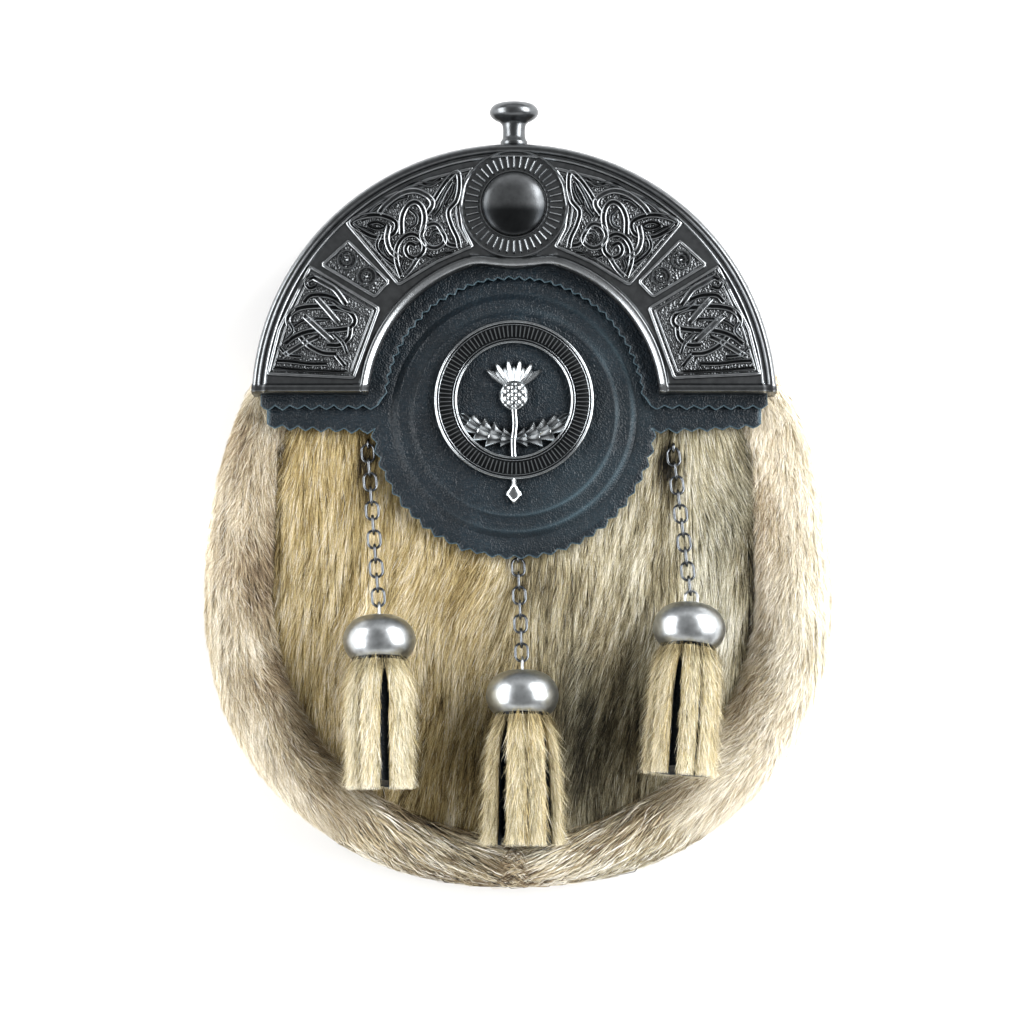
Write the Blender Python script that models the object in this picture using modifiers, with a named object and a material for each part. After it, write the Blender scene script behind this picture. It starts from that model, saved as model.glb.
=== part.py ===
"""Sporran pouch: fur front, cast cantle, leather flap with a badge, and three tassels on chains.

It lies on its back: z = 0 is the surface under it, +Z comes out of its front and +Y points to the knob.
Sizes are in millimetres, and MM turns them to metres where an object is made. Pieces on the front are
placed in a front frame of their own, across, up and out, which leans with the wedge-shaped pouch.
"""

import math

import bmesh
import bpy
import numpy as np
from mathutils import Matrix, Vector

MM = 0.001
GAP = 0.3  # between pieces that lie against each other
CUT_PAST = 2.0  # how far a cutter runs past what it cuts
WELD = 0.01  # points this close are one
SMOOTH_DEG = 35.0  # a sharper edge than this stays an edge
ROUND_SMOOTH_DEG = 60.0  # for pieces with few facets round them

# The wedge: the back lies flat and the front leans down towards the knob
FRONT_LEAN_DEG = 3.5
FRONT_HEIGHT = 25.0  # the hide's face above the surface, at the frame's middle
CENTRE_SHIFT = -1.37  # moves the whole so that its box is centred on the origin

# Belt loops and back
LOOP_LEATHER = 2.0
STRAP_ROOM = 5.0
LOOP_WIDTH = 26.0
LOOP_FOOT = 11.0  # half the flat of a loop's bow
LOOP_REACH = 16.0  # half its length
LOOP_EDGE = 1.5  # the thickness of its sewn ends
LOOP_ACROSS = 42.0
LOOP_UP = 62.0
BACK_LEATHER = 2.5
BACK_LOW = LOOP_LEATHER + STRAP_ROOM + GAP
BACK_TOP = BACK_LOW + BACK_LEATHER

# Front hide and the seam round it: two half ellipses that share their middle
HIDE = 3.0
SEAM_HALF_WIDTH = 77.5
SEAM_MIDDLE = -28.0
SEAM_DOWN = 81.5
SEAM_UP = 138.0
SEAM_GAP = 0.5  # between the hide's edge and the roll
HIDE_LAP = 1.0  # how far above the roll's ends the hide and the back step out under the cantle
HIDE_ARC_STEPS = 9  # in a quarter of their top arc

# Gusset: the fur roll from the seam out to the rim
RIM_HALF_WIDTH = 97.5
RIM_MIDDLE = -33.9
RIM_DOWN = 89.5
RIM_UP = 121.3
RIM_POWER = 2.2
ROLL_TOP_UP = 40.0
ROLL_PUFF = 7.5
ROLL_TUCK = -0.6  # the puff where the roll passes under the leather and the cantle
TUCK_FROM_UP = -22.0  # the puff dies away from here,
TUCK_OVER = 40.0  # over this length
ROLL_STATIONS = 21
# The roll's section. A row is a point: its share of the roll's width, of the puff and of the hide's height,
# and a height of its own in mm.
ROLL_SECTION = (
    {"width": 0.00, "puff": 0.00, "height": 1.00, "rise": -1.2},
    {"width": 0.12, "puff": 0.50, "height": 1.00, "rise": 0.0},
    {"width": 0.34, "puff": 0.92, "height": 1.00, "rise": 0.0},
    {"width": 0.60, "puff": 1.00, "height": 0.99, "rise": 0.0},
    {"width": 0.86, "puff": 0.60, "height": 0.90, "rise": 0.0},
    {"width": 1.00, "puff": 0.10, "height": 0.58, "rise": 0.0},
    {"width": 0.96, "puff": 0.00, "height": 0.24, "rise": 0.0},
    {"width": 0.76, "puff": 0.00, "height": 0.00, "rise": 0.0},
    {"width": 0.30, "puff": 0.00, "height": 0.00, "rise": 0.0},
    {"width": 0.10, "puff": 0.00, "height": 0.00, "rise": 2.4},
    {"width": 0.01, "puff": 0.00, "height": 0.00, "rise": BACK_LOW + BACK_LEATHER / 2},
)

# Cantle: a half ring with a shallow bulge under its boss
CANTLE_UP = 28.2  # the arcs' centre
CANTLE_OUTER = 83.4
CANTLE_INNER = 46.4
CANTLE_END_UP = 31.8
BULGE_LOW_UP = 72.0
BULGE_RADIUS = 48.75
CANTLE_WALL = 1.8
CANTLE_HOLLOW_IN = 3.0  # from the outer edge to the hollow behind the field
PANEL_RADIUS = CANTLE_OUTER - 0.8  # the hide and the back end this far inside the cantle's edge
ARC_STEPS = 28
BULGE_STEPS = 6
SKIRT_STEPS = 64
# Heights out of the front frame
FLAP_LOW = 3.5  # the pile, a chain's top link and its staple lie under the flap
FLAP_TOP = FLAP_LOW + 2.0
BACKING_LOW = FLAP_TOP + GAP
BACKING_TOP = BACKING_LOW + 2.0
CANTLE_LOW = BACKING_TOP + GAP
FIELD_OUT = 13.2
RIM_OUT = 14.9
ROOF_OUT = 11.4
RIM_WIDTH = {"outer": 4.6, "inner": 3.4, "end": 3.2}

# Relief on the cantle
RELIEF_SINK = 0.5
MITRE_LIMIT = 0.3  # the least share that a corner of a frame is drawn in by
FRAME_WIDTH = 0.9
FRAME_HEIGHT = 1.1
STRAND_WIDTH = 1.5
STRAND_HEIGHT = 0.8
STRAND_STAGGER = 0.07  # each loop stands this much higher than the last, and roots deeper
BOSS_UP = 92.2
BOSS_RADIUS = 10.3
BOSS_DOME = 3.6
BOSS_EDGE_DEG = 15.0  # where the dome's curve breaks off over its upright edge
BOSS_ROWS = 5
BOSS_STEPS = 22
RIB_INNER = 11.7
RIB_OUTER = 15.9
RIB_COUNT = 20
RIB_THICK = 0.8
RIB_HEIGHT = 0.75
RING_RADIUS = 17.1
RING_HEIGHT = 1.2
RING_STEPS = 20
PANEL_CLEAR = 1.4  # from the ring to the upper panel's frame
# The panels between two angles of the half ring, in degrees from +across, on the left side
PANEL_LOW_RADIUS = 51.2
PANEL_HIGH_RADIUS = 77.2
KNOT_PANEL = {"from": 144.5, "to_end_gap": 5.2}
RING_PANEL = {"angle": 138.9, "inner": 55.4, "outer": 73.8, "half_width": 5.3}
BEAST_PANEL = {"from": 102.5, "high_from": 98.5, "to": 131.4}
# The small panel's two ringed dots: their places along it, as shares, and their radii
RING_BOSS_SHARES = (0.26, 0.74)
RING_BOSS = {"outer": 3.0, "inner": 2.0, "dot": 0.9, "height": 0.8}
RING_BOSS_STEPS = 8
DOT_STEPS = 5
# Loops of the interlace in a panel. A row is a loop: its middle as a radius and an angle, its half length
# and half width, its turn from the radius in degrees, and how pointed its ends are.
KNOT_LOOPS = (
    {"radius": 63.6, "angle": 157.4, "long": 15.6, "wide": 4.4, "turn": 51.0, "point": 0.5},
    {"radius": 63.6, "angle": 158.4, "long": 15.0, "wide": 4.4, "turn": -49.0, "point": 0.5},
    {"radius": 64.0, "angle": 157.6, "long": 9.4, "wide": 6.6, "turn": 3.0, "point": 0.0},
)
BEAST_LOOPS = (
    {"radius": 70.4, "angle": 124.4, "long": 9.4, "wide": 3.4, "turn": 62.0, "point": 0.6},
    {"radius": 69.8, "angle": 108.8, "long": 8.0, "wide": 3.2, "turn": -46.0, "point": 0.6},
    {"radius": 68.0, "angle": 116.8, "long": 4.7, "wide": 4.4, "turn": 7.0, "point": 0.0},
    {"radius": 57.3, "angle": 120.4, "long": 3.6, "wide": 3.5, "turn": 5.0, "point": 0.0},
    {"radius": 57.6, "angle": 112.0, "long": 3.6, "wide": 3.5, "turn": 9.0, "point": 0.0},
)
LOOP_STEPS = 8

# Leather under the cantle
BACKING_OUTER = 80.9
BACKING_INNER = 41.6
BACKING_END_UP = 28.6
BACKING_END_SAG = 0.4
BACKING_CORNER_ACROSS = 43.4
BACKING_ARC_DEG = {"from": 176.0, "to": 4.0}  # the pinked inner edge
BACKING_NOTCH = 1.0  # from the outer arc's end to the first tooth
LEATHER_ARC_STEPS = 20
PINKED_STEPS = 60  # a curve is this finely divided before its teeth are cut
FLAP_RADIUS = 44.4
FLAP_UP = 25.3
FLAP_ARM_ACROSS = 79.0
FLAP_ARM_UP = 22.8
FLAP_CORNER_UP = 21.2
FLAP_ARM_SAG = 0.4
FLAP_ARM_TOP = 37.0
TOOTH_PITCH = 5.0
TOOTH_DEPTH = 1.6
EMBOSS_FOOT = 0.7  # above the flap's underside
EMBOSS_STEPS = 30
# The flap's embossed disc. A row is a radius and its height over the flap's face.
EMBOSS = (
    {"radius": 37.8, "over": -0.6},
    {"radius": 37.0, "over": 0.7},
    {"radius": 33.2, "over": 0.9},
    {"radius": 32.2, "over": 1.5},
    {"radius": 0.0, "over": 1.5},
)

# Badge, about the middle of its ring
BADGE_UP = 30.2
BADGE_OUTER = 25.8
BADGE_INNER = 18.0
BADGE_LOW = FLAP_TOP + EMBOSS[-1]["over"] + GAP
BADGE_TOP = BADGE_LOW + 1.2
BADGE_RIM = 0.9
BADGE_RELIEF = 0.6
BADGE_STEPS = 26
BADGE_LIFT = 0.1  # sets a joined shape's faces and edges off those of the plate
BADGE_RIBS = {"count": 18, "inner": 19.5, "outer": 24.3, "thick": 0.9}
BADGE_DROP = ((0.0, -33.5), (2.6, -30.0), (1.2, -24.6), (-1.2, -24.6), (-2.6, -30.0))
THISTLE_BULB = {"up": 1.0, "across": 4.6, "along": 4.9, "rise": 0.5, "steps": 12}
THISTLE_CROWN = {"up": 3.6, "first_deg": 140.0, "step_deg": 12.5, "root": 3.4}
CROWN_TIP = {"across": 10.6, "along": 9.6}
CROWN_DIP = {"across": 5.6, "along": 6.6}
CROWN_SPIKES = 5
STEM = {"half_width": 1.0, "top": -2.0}
LEAF_SPINE = {"from": (0.0, -12.2), "to": (18.6, -5.2)}
# A leaf's toothed edge. A row is a share of the spine and the leaf's half width there.
LEAF = (
    {"share": 0.00, "half": 1.9},
    {"share": 0.16, "half": 3.4},
    {"share": 0.26, "half": 1.8},
    {"share": 0.44, "half": 4.1},
    {"share": 0.54, "half": 2.0},
    {"share": 0.70, "half": 3.3},
    {"share": 0.80, "half": 1.2},
    {"share": 1.00, "half": 0.4},
)

# Knob. A row is a radius and a height over the cantle's crown.
KNOB_OUT = 7.6
KNOB_FOOT_UP = CANTLE_UP + CANTLE_OUTER + GAP
KNOB_STEPS = 16
KNOB_PROFILE = (
    {"radius": 0.0, "over": 14.0},
    {"radius": 4.8, "over": 13.7},
    {"radius": 7.1, "over": 12.5},
    {"radius": 7.85, "over": 10.7},
    {"radius": 7.1, "over": 9.0},
    {"radius": 4.9, "over": 7.8},
    {"radius": 3.4, "over": 6.9},
    {"radius": 3.3, "over": 2.0},
    {"radius": 4.0, "over": 1.4},
    {"radius": 4.1, "over": 0.0},
    {"radius": 0.0, "over": 0.0},
)

# Chains: oval links of round wire
WIRE = 0.9
LINK_WIDTH = 4.9
LINK_INNER_LENGTH = 5.0
LINK_PLAY = 0.28
LINK_PITCH = LINK_INNER_LENGTH - LINK_PLAY
LINK_SIDES = 5
LINK_STEPS = 10
STAPLE_HALF = 1.3
STAPLE_RISE = 2.7
STAPLE_STEPS = 4
TOP_LINK_OUT = 1.5

# Cup and tassel, about the cup's middle with the chain's side up
CUP_PROFILE = (
    {"radius": 0.0, "up": 7.4},
    {"radius": 4.0, "up": 7.2},
    {"radius": 8.0, "up": 5.4},
    {"radius": 10.7, "up": 2.0},
    {"radius": 11.3, "up": -1.2},
    {"radius": 10.6, "up": -4.6},
    {"radius": 9.2, "up": -7.3},
    {"radius": 8.2, "up": -7.3},
    {"radius": 8.2, "up": 0.0},
    {"radius": 0.0, "up": 0.0},
)
CUP_STEPS = 14
EYE_UP = 8.6
CUP_OUT = 11.9
TASSEL_STRIPS = 7
TASSEL_TOP = -0.5
PLUG_RADIUS = 7.4
PLUG_LOW = -9.0
PLUG_STEPS = 12
# The strips' course down the tassel. A row is a height, the strips' middle radius, and their half width and
# half thickness.
STRIP_COURSE = (
    {"up": -5.0, "radius": 5.4, "half_width": 2.0, "half_thick": 1.3},
    {"up": -15.0, "radius": 8.4, "half_width": 3.0, "half_thick": 1.6},
    {"up": -47.6, "radius": 10.2, "half_width": 3.6, "half_thick": 1.7},
)
# A strip's section: out and across as shares of its half thickness and half width, narrower in front.
STRIP_SECTION = ((-1.0, -1.0), (1.0, -0.72), (1.0, 0.72), (-1.0, 1.0))
# One row a tassel: the cup's middle and the chain's staple on the front, the links between them, the angle at
# which the tassel leans across the front, the lift of its lower end off the front, and its width's share.
TASSELS = (
    {
        "name": "left",
        "cup": (-42.6, -46.0),
        "staple": (-47.0, 17.0),
        "links": 11,
        "lean": 0.5,
        "lift": 8.0,
        "spread": 0.94,
    },
    {
        "name": "centre",
        "cup": (2.6, -63.4),
        "staple": (1.2, -19.0),
        "links": 7,
        "lean": 0.0,
        "lift": 6.6,
        "spread": 1.06,
    },
    {
        "name": "right",
        "cup": (55.5, -42.2),
        "staple": (50.6, 17.0),
        "links": 10,
        "lean": -4.5,
        "lift": 10.0,
        "spread": 0.92,
    },
)


def clear_scene():
    for obj in list(bpy.data.objects):
        bpy.data.objects.remove(obj, do_unlink=True)


def collection(name):
    made = bpy.data.collections.new(name)
    bpy.context.scene.collection.children.link(made)
    return made


def material(name, colour, roughness, metallic):
    made = bpy.data.materials.new(name)
    made.use_nodes = True
    shader = made.node_tree.nodes["Principled BSDF"]
    shader.inputs["Base Color"].default_value = (*colour, 1.0)
    shader.inputs["Roughness"].default_value = roughness
    shader.inputs["Metallic"].default_value = metallic
    return made


def frame(name, parent, place, turn=(0.0, 0.0, 0.0)):
    """An empty that carries pieces: its place in mm and its turn in radians."""
    empty = bpy.data.objects.new(name, None)
    PARTS.objects.link(empty)
    empty.parent = parent
    empty.location = Vector(place) * MM
    empty.rotation_euler = turn
    return empty


def mesh_object(name, mesh):
    obj = bpy.data.objects.new(name, mesh)
    CUTTERS.objects.link(obj)
    return obj


def evaluated_mesh(obj):
    """The object as its modifiers leave it, in its own space, with doubled points welded."""
    bpy.context.view_layer.update()
    graph = bpy.context.evaluated_depsgraph_get()
    mesh = bpy.data.meshes.new_from_object(obj.evaluated_get(graph))
    work = bmesh.new()
    work.from_mesh(mesh)
    bmesh.ops.remove_doubles(work, verts=work.verts, dist=WELD * MM)
    work.to_mesh(mesh)
    work.free()
    return mesh


def baked(obj):
    """Replaces a curve, or a mesh with modifiers, by a plain mesh object of the same shape and place."""
    mesh = evaluated_mesh(obj)
    name, place = obj.name, obj.matrix_world.copy()
    bpy.data.objects.remove(obj)
    made = mesh_object(name, mesh)
    made.matrix_world = place
    return made


def combine(target, others, operation):
    """Cuts the others from the target or joins them to it, and removes them."""
    for other in others:
        step = target.modifiers.new("combine", "BOOLEAN")
        step.operation = operation
        step.solver = "EXACT"
        step.object = other
        mesh = evaluated_mesh(target)
        target.modifiers.clear()
        target.data = mesh
        bpy.data.objects.remove(other)
    return target


def merged(objects):
    """Several meshes that don't touch, as one object for one Boolean."""
    work = bmesh.new()
    for obj in objects:
        obj.data.transform(obj.matrix_world)
        work.from_mesh(obj.data)
        bpy.data.objects.remove(obj)
    mesh = bpy.data.meshes.new("merged")
    work.to_mesh(mesh)
    work.free()
    return mesh_object("merged", mesh)


def finish(obj, name, dress, parent, smooth_deg=SMOOTH_DEG):
    """Names a piece, gives it its material and hangs it on its frame, where it keeps its local place."""
    obj.name = name
    obj.data.name = name
    obj.data.materials.clear()
    obj.data.materials.append(dress)
    for owner in list(obj.users_collection):
        owner.objects.unlink(obj)
    PARTS.objects.link(obj)
    obj.parent = parent
    obj.data.shade_smooth()
    obj.data.set_sharp_from_angle(angle=math.radians(smooth_deg))


def slab(loops, low, high):
    """A flat outline, with any holes, between two heights: a filled 2D curve with an extrusion."""
    curve = bpy.data.curves.new("slab", "CURVE")
    curve.dimensions = "2D"
    curve.fill_mode = "BOTH"
    curve.extrude = (high - low) / 2 * MM
    for loop in loops:
        spline = curve.splines.new("POLY")
        spline.points.add(len(loop) - 1)
        flat = [c for x, y in loop for c in (x * MM, y * MM, 0.0, 1.0)]
        spline.points.foreach_set("co", flat)
        spline.use_cyclic_u = True
    obj = mesh_object("slab", curve)
    obj.location.z = (low + high) / 2 * MM
    return baked(obj)


def turned(profile, steps, centre=(0.0, 0.0)):
    """A turned solid about a line along out, from rows of a radius and a height that run top to bottom."""
    mesh = bpy.data.meshes.new("turned")
    points = [(r * MM, 0.0, z * MM) for r, z in profile]
    mesh.from_pydata(points, [(i, i + 1) for i in range(len(points) - 1)], [])
    obj = mesh_object("turned", mesh)
    screw = obj.modifiers.new("turn", "SCREW")
    screw.steps = screw.render_steps = steps
    screw.use_merge_vertices = True
    screw.merge_threshold = WELD * MM
    screw.use_normal_calculate = True
    obj = baked(obj)
    obj.data.transform(Matrix.Rotation(math.pi / steps, 4, "Z"))
    obj.location = (centre[0] * MM, centre[1] * MM, 0.0)
    return facing_out(obj)


def facing_out(obj):
    work = bmesh.new()
    work.from_mesh(obj.data)
    bmesh.ops.recalc_face_normals(work, faces=work.faces)
    work.to_mesh(obj.data)
    work.free()
    return obj


def arc(centre, radius, start_deg, end_deg, steps):
    angles = np.radians(np.linspace(start_deg, end_deg, steps + 1))
    return [(centre[0] + radius * math.cos(a), centre[1] + radius * math.sin(a)) for a in angles]


def circle(radius, steps, centre=(0.0, 0.0)):
    return arc(centre, radius, 0.0, 360.0 - 360.0 / steps, steps - 1)


def polar(radius, angle_deg):
    """A point of the cantle's half ring."""
    angle = math.radians(angle_deg)
    return (radius * math.cos(angle), CANTLE_UP + radius * math.sin(angle))


def bowed(start, end, sag, steps=12):
    """A line between two points that bows to its right by the sag at its middle, as a parabola."""
    shares = np.linspace(0.0, 1.0, steps + 1)[:, None]
    start, end = np.array(start), np.array(end)
    heading = (end - start) / np.hypot(*(end - start))
    right = np.array([heading[1], -heading[0]])
    return [tuple(p) for p in start + (end - start) * shares + right * sag * 4.0 * shares * (1.0 - shares)]


def mirrored(points):
    return [(-x, y) for x, y in reversed(points)]


def pinked(points):
    """A zigzag along a line of points: whole teeth of the pinking shears, in to the line's right and out."""
    line = np.array(points, float)
    steps = np.hypot(*np.diff(line, axis=0).T)
    along = np.concatenate([[0.0], np.cumsum(steps)])
    teeth = max(2, round(along[-1] / TOOTH_PITCH))
    marks = np.linspace(0.0, along[-1], 2 * teeth + 1)
    spots = np.column_stack([np.interp(marks, along, line[:, k]) for k in (0, 1)])
    heading = np.gradient(spots, axis=0)
    heading /= np.hypot(*heading.T)[:, None]
    right = np.column_stack([heading[:, 1], -heading[:, 0]])
    side = np.where(np.arange(len(marks)) % 2 == 0, 0.0, TOOTH_DEPTH)
    return [tuple(p) for p in spots + right * side[:, None]]


# ---------------------------------------------------------------- pouch


def seam_point(angle_deg, inset=0.0):
    """The seam between front hide and roll: half ellipses below and above their shared middle."""
    angle = math.radians(angle_deg)
    reach = SEAM_DOWN if angle < 0 else SEAM_UP
    return (
        (SEAM_HALF_WIDTH - inset) * math.cos(angle),
        SEAM_MIDDLE + (reach - inset) * math.sin(angle),
    )


def rim_point(angle_deg):
    """The roll's outermost line: superellipses, a little squarer than the seam."""
    angle = math.radians(angle_deg)
    power = 2.0 / RIM_POWER
    across = RIM_HALF_WIDTH * math.copysign(abs(math.cos(angle)) ** power, math.cos(angle))
    reach = RIM_DOWN if angle < 0 else RIM_UP
    return (across, RIM_MIDDLE + math.copysign(reach * abs(math.sin(angle)) ** power, angle))


def seam_top_angle(up):
    return math.degrees(math.asin((up - SEAM_MIDDLE) / SEAM_UP))


def rim_top_angle(up):
    return math.degrees(math.asin(((up - RIM_MIDDLE) / RIM_UP) ** (RIM_POWER / 2.0)))


def panel_outline():
    """The outline of the front hide and the back: the seam, in the roll's facets, and an arc above."""
    step_up = ROLL_TOP_UP + HIDE_LAP
    stations = np.linspace(-90.0, seam_top_angle(ROLL_TOP_UP), ROLL_STATIONS // 2 + 1)
    low = [seam_point(a, SEAM_GAP) for a in (*stations, seam_top_angle(step_up))]
    start = math.degrees(math.asin((step_up - CANTLE_UP) / PANEL_RADIUS))
    half = low + arc((0.0, CANTLE_UP), PANEL_RADIUS, start, 90.0, HIDE_ARC_STEPS)
    return half + mirrored(half)[1:-1]


def hide_height(up):
    """The front hide's face above the surface, at a place up the pouch."""
    return FRONT_HEIGHT - math.tan(math.radians(FRONT_LEAN_DEG)) * up


def roll_puff(up):
    """How far the roll stands over the hide: its full puff below, dying away before the leather's arms."""
    share = min(1.0, max(0.0, (up - TUCK_FROM_UP) / TUCK_OVER))
    fade = share * share * (3.0 - 2.0 * share)
    return ROLL_PUFF + (ROLL_TUCK - ROLL_PUFF) * fade


def roll_section(share):
    """The roll's section at a share of the way from its left end round the bottom to its right end."""
    side = -1.0 if share < 0.5 else 1.0
    down = 1.0 - abs(2.0 * share - 1.0)
    seam = seam_point(seam_top_angle(ROLL_TOP_UP) * (1.0 - down) - 90.0 * down)
    rim = rim_point(rim_top_angle(ROLL_TOP_UP) * (1.0 - down) - 90.0 * down)
    points = []
    for row in ROLL_SECTION:
        across = seam[0] + (rim[0] - seam[0]) * row["width"]
        up = seam[1] + (rim[1] - seam[1]) * row["width"]
        height = row["height"] * hide_height(up) + row["puff"] * roll_puff(up) + row["rise"]
        points.append((side * across * MM, up * MM, height * MM))
    return points


def gusset(root):
    """The fur roll: a C-shaped wall, open to the pocket, lofted round the pouch and given its thickness."""
    sections = [roll_section(k / (ROLL_STATIONS - 1)) for k in range(ROLL_STATIONS)]
    count = len(ROLL_SECTION)
    points = [p for section in sections for p in section]
    faces = [
        (k * count + i, k * count + i + 1, (k + 1) * count + i + 1, (k + 1) * count + i)
        for k in range(ROLL_STATIONS - 1)
        for i in range(count - 1)
    ]
    mesh = bpy.data.meshes.new("gusset")
    mesh.from_pydata(points, [], faces)
    obj = facing_out(mesh_object("gusset", mesh))
    wall = obj.modifiers.new("hide", "SOLIDIFY")
    wall.thickness = HIDE * MM
    wall.offset = -1.0
    wall.use_even_offset = True
    finish(obj, "gusset", FUR, root, ROUND_SMOOTH_DEG)


def front_hide(front):
    obj = slab([panel_outline()], -HIDE, 0.0)
    finish(obj, "front_hide", FUR, front)


def back_panel(root):
    obj = slab([panel_outline()], BACK_LOW, BACK_TOP)
    finish(obj, "back_panel", LEATHER, root)


def belt_loops(root):
    """Two leather keepers bowed off the back: a strap passes through both from side to side."""
    high = BACK_LOW - GAP
    outer = [(-LOOP_REACH, high), (-LOOP_REACH, high - LOOP_EDGE), (-LOOP_FOOT, 0.0)]
    inner_end = -LOOP_REACH + LOOP_LEATHER
    inner = [(-LOOP_FOOT, LOOP_LEATHER), (inner_end, high - LOOP_EDGE), (inner_end, high)]
    profile = outer + mirrored(outer) + mirrored(inner) + inner
    stand = Matrix.Rotation(math.pi / 2, 4, "Z") @ Matrix.Rotation(math.pi / 2, 4, "X")
    for name, side in (("belt_loop_left", -1.0), ("belt_loop_right", 1.0)):
        obj = slab([profile], -LOOP_WIDTH / 2, LOOP_WIDTH / 2)
        obj.matrix_world = Matrix.Identity(4)
        obj.data.transform(stand)
        obj.location = Vector((side * LOOP_ACROSS, LOOP_UP, 0.0)) * MM
        finish(obj, name, LEATHER, root)


# ---------------------------------------------------------------- cantle


def cantle_outline(outer=0.0, inner=0.0, end=0.0):
    """The half ring with its bulge, drawn in from its outer edge, its inner edge and its ends."""
    big, small = CANTLE_OUTER - outer, CANTLE_INNER + inner
    end_up = CANTLE_END_UP + end
    bulge_up, bulge = BULGE_LOW_UP + BULGE_RADIUS, BULGE_RADIUS - inner
    apart = bulge_up - CANTLE_UP
    cusp_rise = (small**2 - bulge**2 + apart**2) / (2.0 * apart)
    cusp_deg = math.degrees(math.asin(cusp_rise / small))
    start = math.degrees(math.asin((end_up - CANTLE_UP) / big))
    outside = arc((0.0, CANTLE_UP), big, start, 180.0 - start, ARC_STEPS)
    low = math.degrees(math.asin((end_up - CANTLE_UP) / small))
    left = arc((0.0, CANTLE_UP), small, 180.0 - low, 180.0 - cusp_deg, ARC_STEPS // 3)
    half = math.degrees(math.acos((bulge_up - CANTLE_UP - cusp_rise) / bulge))
    under = arc((0.0, bulge_up), bulge, 270.0 - half, 270.0 + half, BULGE_STEPS)
    return outside + left + under[1:-1] + mirrored(left)


def ridge(outline):
    """A raised frame inside a convex outline, standing on the cantle's field."""
    middle = np.mean(outline, axis=0)
    inside = []
    count = len(outline)
    for k, point in enumerate(outline):
        before = np.subtract(point, outline[k - 1])
        after = np.subtract(outline[(k + 1) % count], point)
        normals = [np.array([-d[1], d[0]]) / np.hypot(*d) for d in (before, after)]
        bisector = normals[0] + normals[1]
        bisector *= FRAME_WIDTH / max(MITRE_LIMIT, float(bisector @ normals[0]))
        if bisector @ (middle - point) < 0:
            bisector = -bisector
        inside.append(tuple(np.add(point, bisector)))
    return slab([outline, inside], FIELD_OUT - RELIEF_SINK, FIELD_OUT + FRAME_HEIGHT)


def knot_frame():
    """The lower panel: two arcs, a radius above and a level line below."""
    end_up = CANTLE_END_UP + KNOT_PANEL["to_end_gap"]
    outer_end = 180.0 - math.degrees(math.asin((end_up - CANTLE_UP) / PANEL_HIGH_RADIUS))
    inner_end = 180.0 - math.degrees(math.asin((end_up - CANTLE_UP) / PANEL_LOW_RADIUS))
    centre = (0.0, CANTLE_UP)
    outside = arc(centre, PANEL_HIGH_RADIUS, KNOT_PANEL["from"], outer_end, 4)
    inside = arc(centre, PANEL_LOW_RADIUS, inner_end, KNOT_PANEL["from"], 3)
    return outside + inside


def ring_frame():
    """The small panel: a rectangle along a radius."""
    angle = RING_PANEL["angle"]
    ray = Vector((math.cos(math.radians(angle)), math.sin(math.radians(angle))))
    side = Vector((-ray.y, ray.x)) * RING_PANEL["half_width"]
    corners = []
    for radius, sign in (("inner", 1), ("inner", -1), ("outer", -1), ("outer", 1)):
        corners.append(tuple(Vector(polar(RING_PANEL[radius], angle)) + side * sign))
    return corners


def beast_frame():
    """The upper panel: two arcs, a radius, and an arc round the boss."""
    centre = (0.0, CANTLE_UP)
    outside = arc(centre, PANEL_HIGH_RADIUS, BEAST_PANEL["high_from"], BEAST_PANEL["to"], 4)
    inside = arc(centre, PANEL_LOW_RADIUS, BEAST_PANEL["to"], BEAST_PANEL["from"], 3)
    clear = RING_RADIUS + PANEL_CLEAR
    low, high = (math.degrees(math.atan2(y - BOSS_UP, x)) for x, y in (inside[-1], outside[0]))
    round_boss = arc((0.0, BOSS_UP), clear, low % 360.0, high % 360.0, 3)
    return outside + inside[:-1] + round_boss[:-1]


def loop_points(row, grow=0.0):
    """A closed loop of the interlace: an ellipse whose ends draw out to points."""
    turn = math.radians(row["angle"] + row["turn"])
    middle = polar(row["radius"], row["angle"])
    points = []
    for k in range(LOOP_STEPS):
        angle = 2.0 * math.pi * k / LOOP_STEPS
        along = (row["long"] + grow) * math.cos(angle)
        narrow = 1.0 - row["point"] * math.cos(angle) ** 2
        across = (row["wide"] + grow) * math.sin(angle) * (narrow if row["point"] else 1.0)
        points.append(
            (
                middle[0] + along * math.cos(turn) - across * math.sin(turn),
                middle[1] + along * math.sin(turn) + across * math.cos(turn),
            )
        )
    return points


def interlace(rows):
    """Flat raised loops, each a hair higher than the last where they cross."""
    loops = []
    for k, row in enumerate(rows):
        outside = loop_points(row, STRAND_WIDTH / 2)
        inside = loop_points(row, -STRAND_WIDTH / 2)
        stagger = STRAND_STAGGER * k
        low, top = FIELD_OUT - RELIEF_SINK - stagger, FIELD_OUT + STRAND_HEIGHT + stagger
        loops.append(slab([outside, inside], low, top))
    return loops


def ring_bosses():
    """Two rings with a dot, along the small panel."""
    made = []
    span = RING_PANEL["outer"] - RING_PANEL["inner"]
    low, top = FIELD_OUT - RELIEF_SINK, FIELD_OUT + RING_BOSS["height"]
    for share in RING_BOSS_SHARES:
        centre = polar(RING_PANEL["inner"] + span * share, RING_PANEL["angle"])
        rings = [circle(RING_BOSS[edge], RING_BOSS_STEPS, centre) for edge in ("outer", "inner")]
        made.append(slab(rings, low, top))
        made.append(slab([circle(RING_BOSS["dot"], DOT_STEPS, centre)], low, top))
    return made


def rib_outlines(count, inner, outer, thick):
    """Outlines of short ribs that stand like rays, about the middle of their ring."""
    made = []
    for k in range(count):
        angle = 2.0 * math.pi * (k + 0.5) / count
        ray = Vector((math.cos(angle), math.sin(angle)))
        side = Vector((-ray.y, ray.x)) * thick / 2
        near, far = ray * inner, ray * outer
        made.append([tuple(p) for p in (near - side, far - side, far + side, near + side)])
    return made


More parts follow.
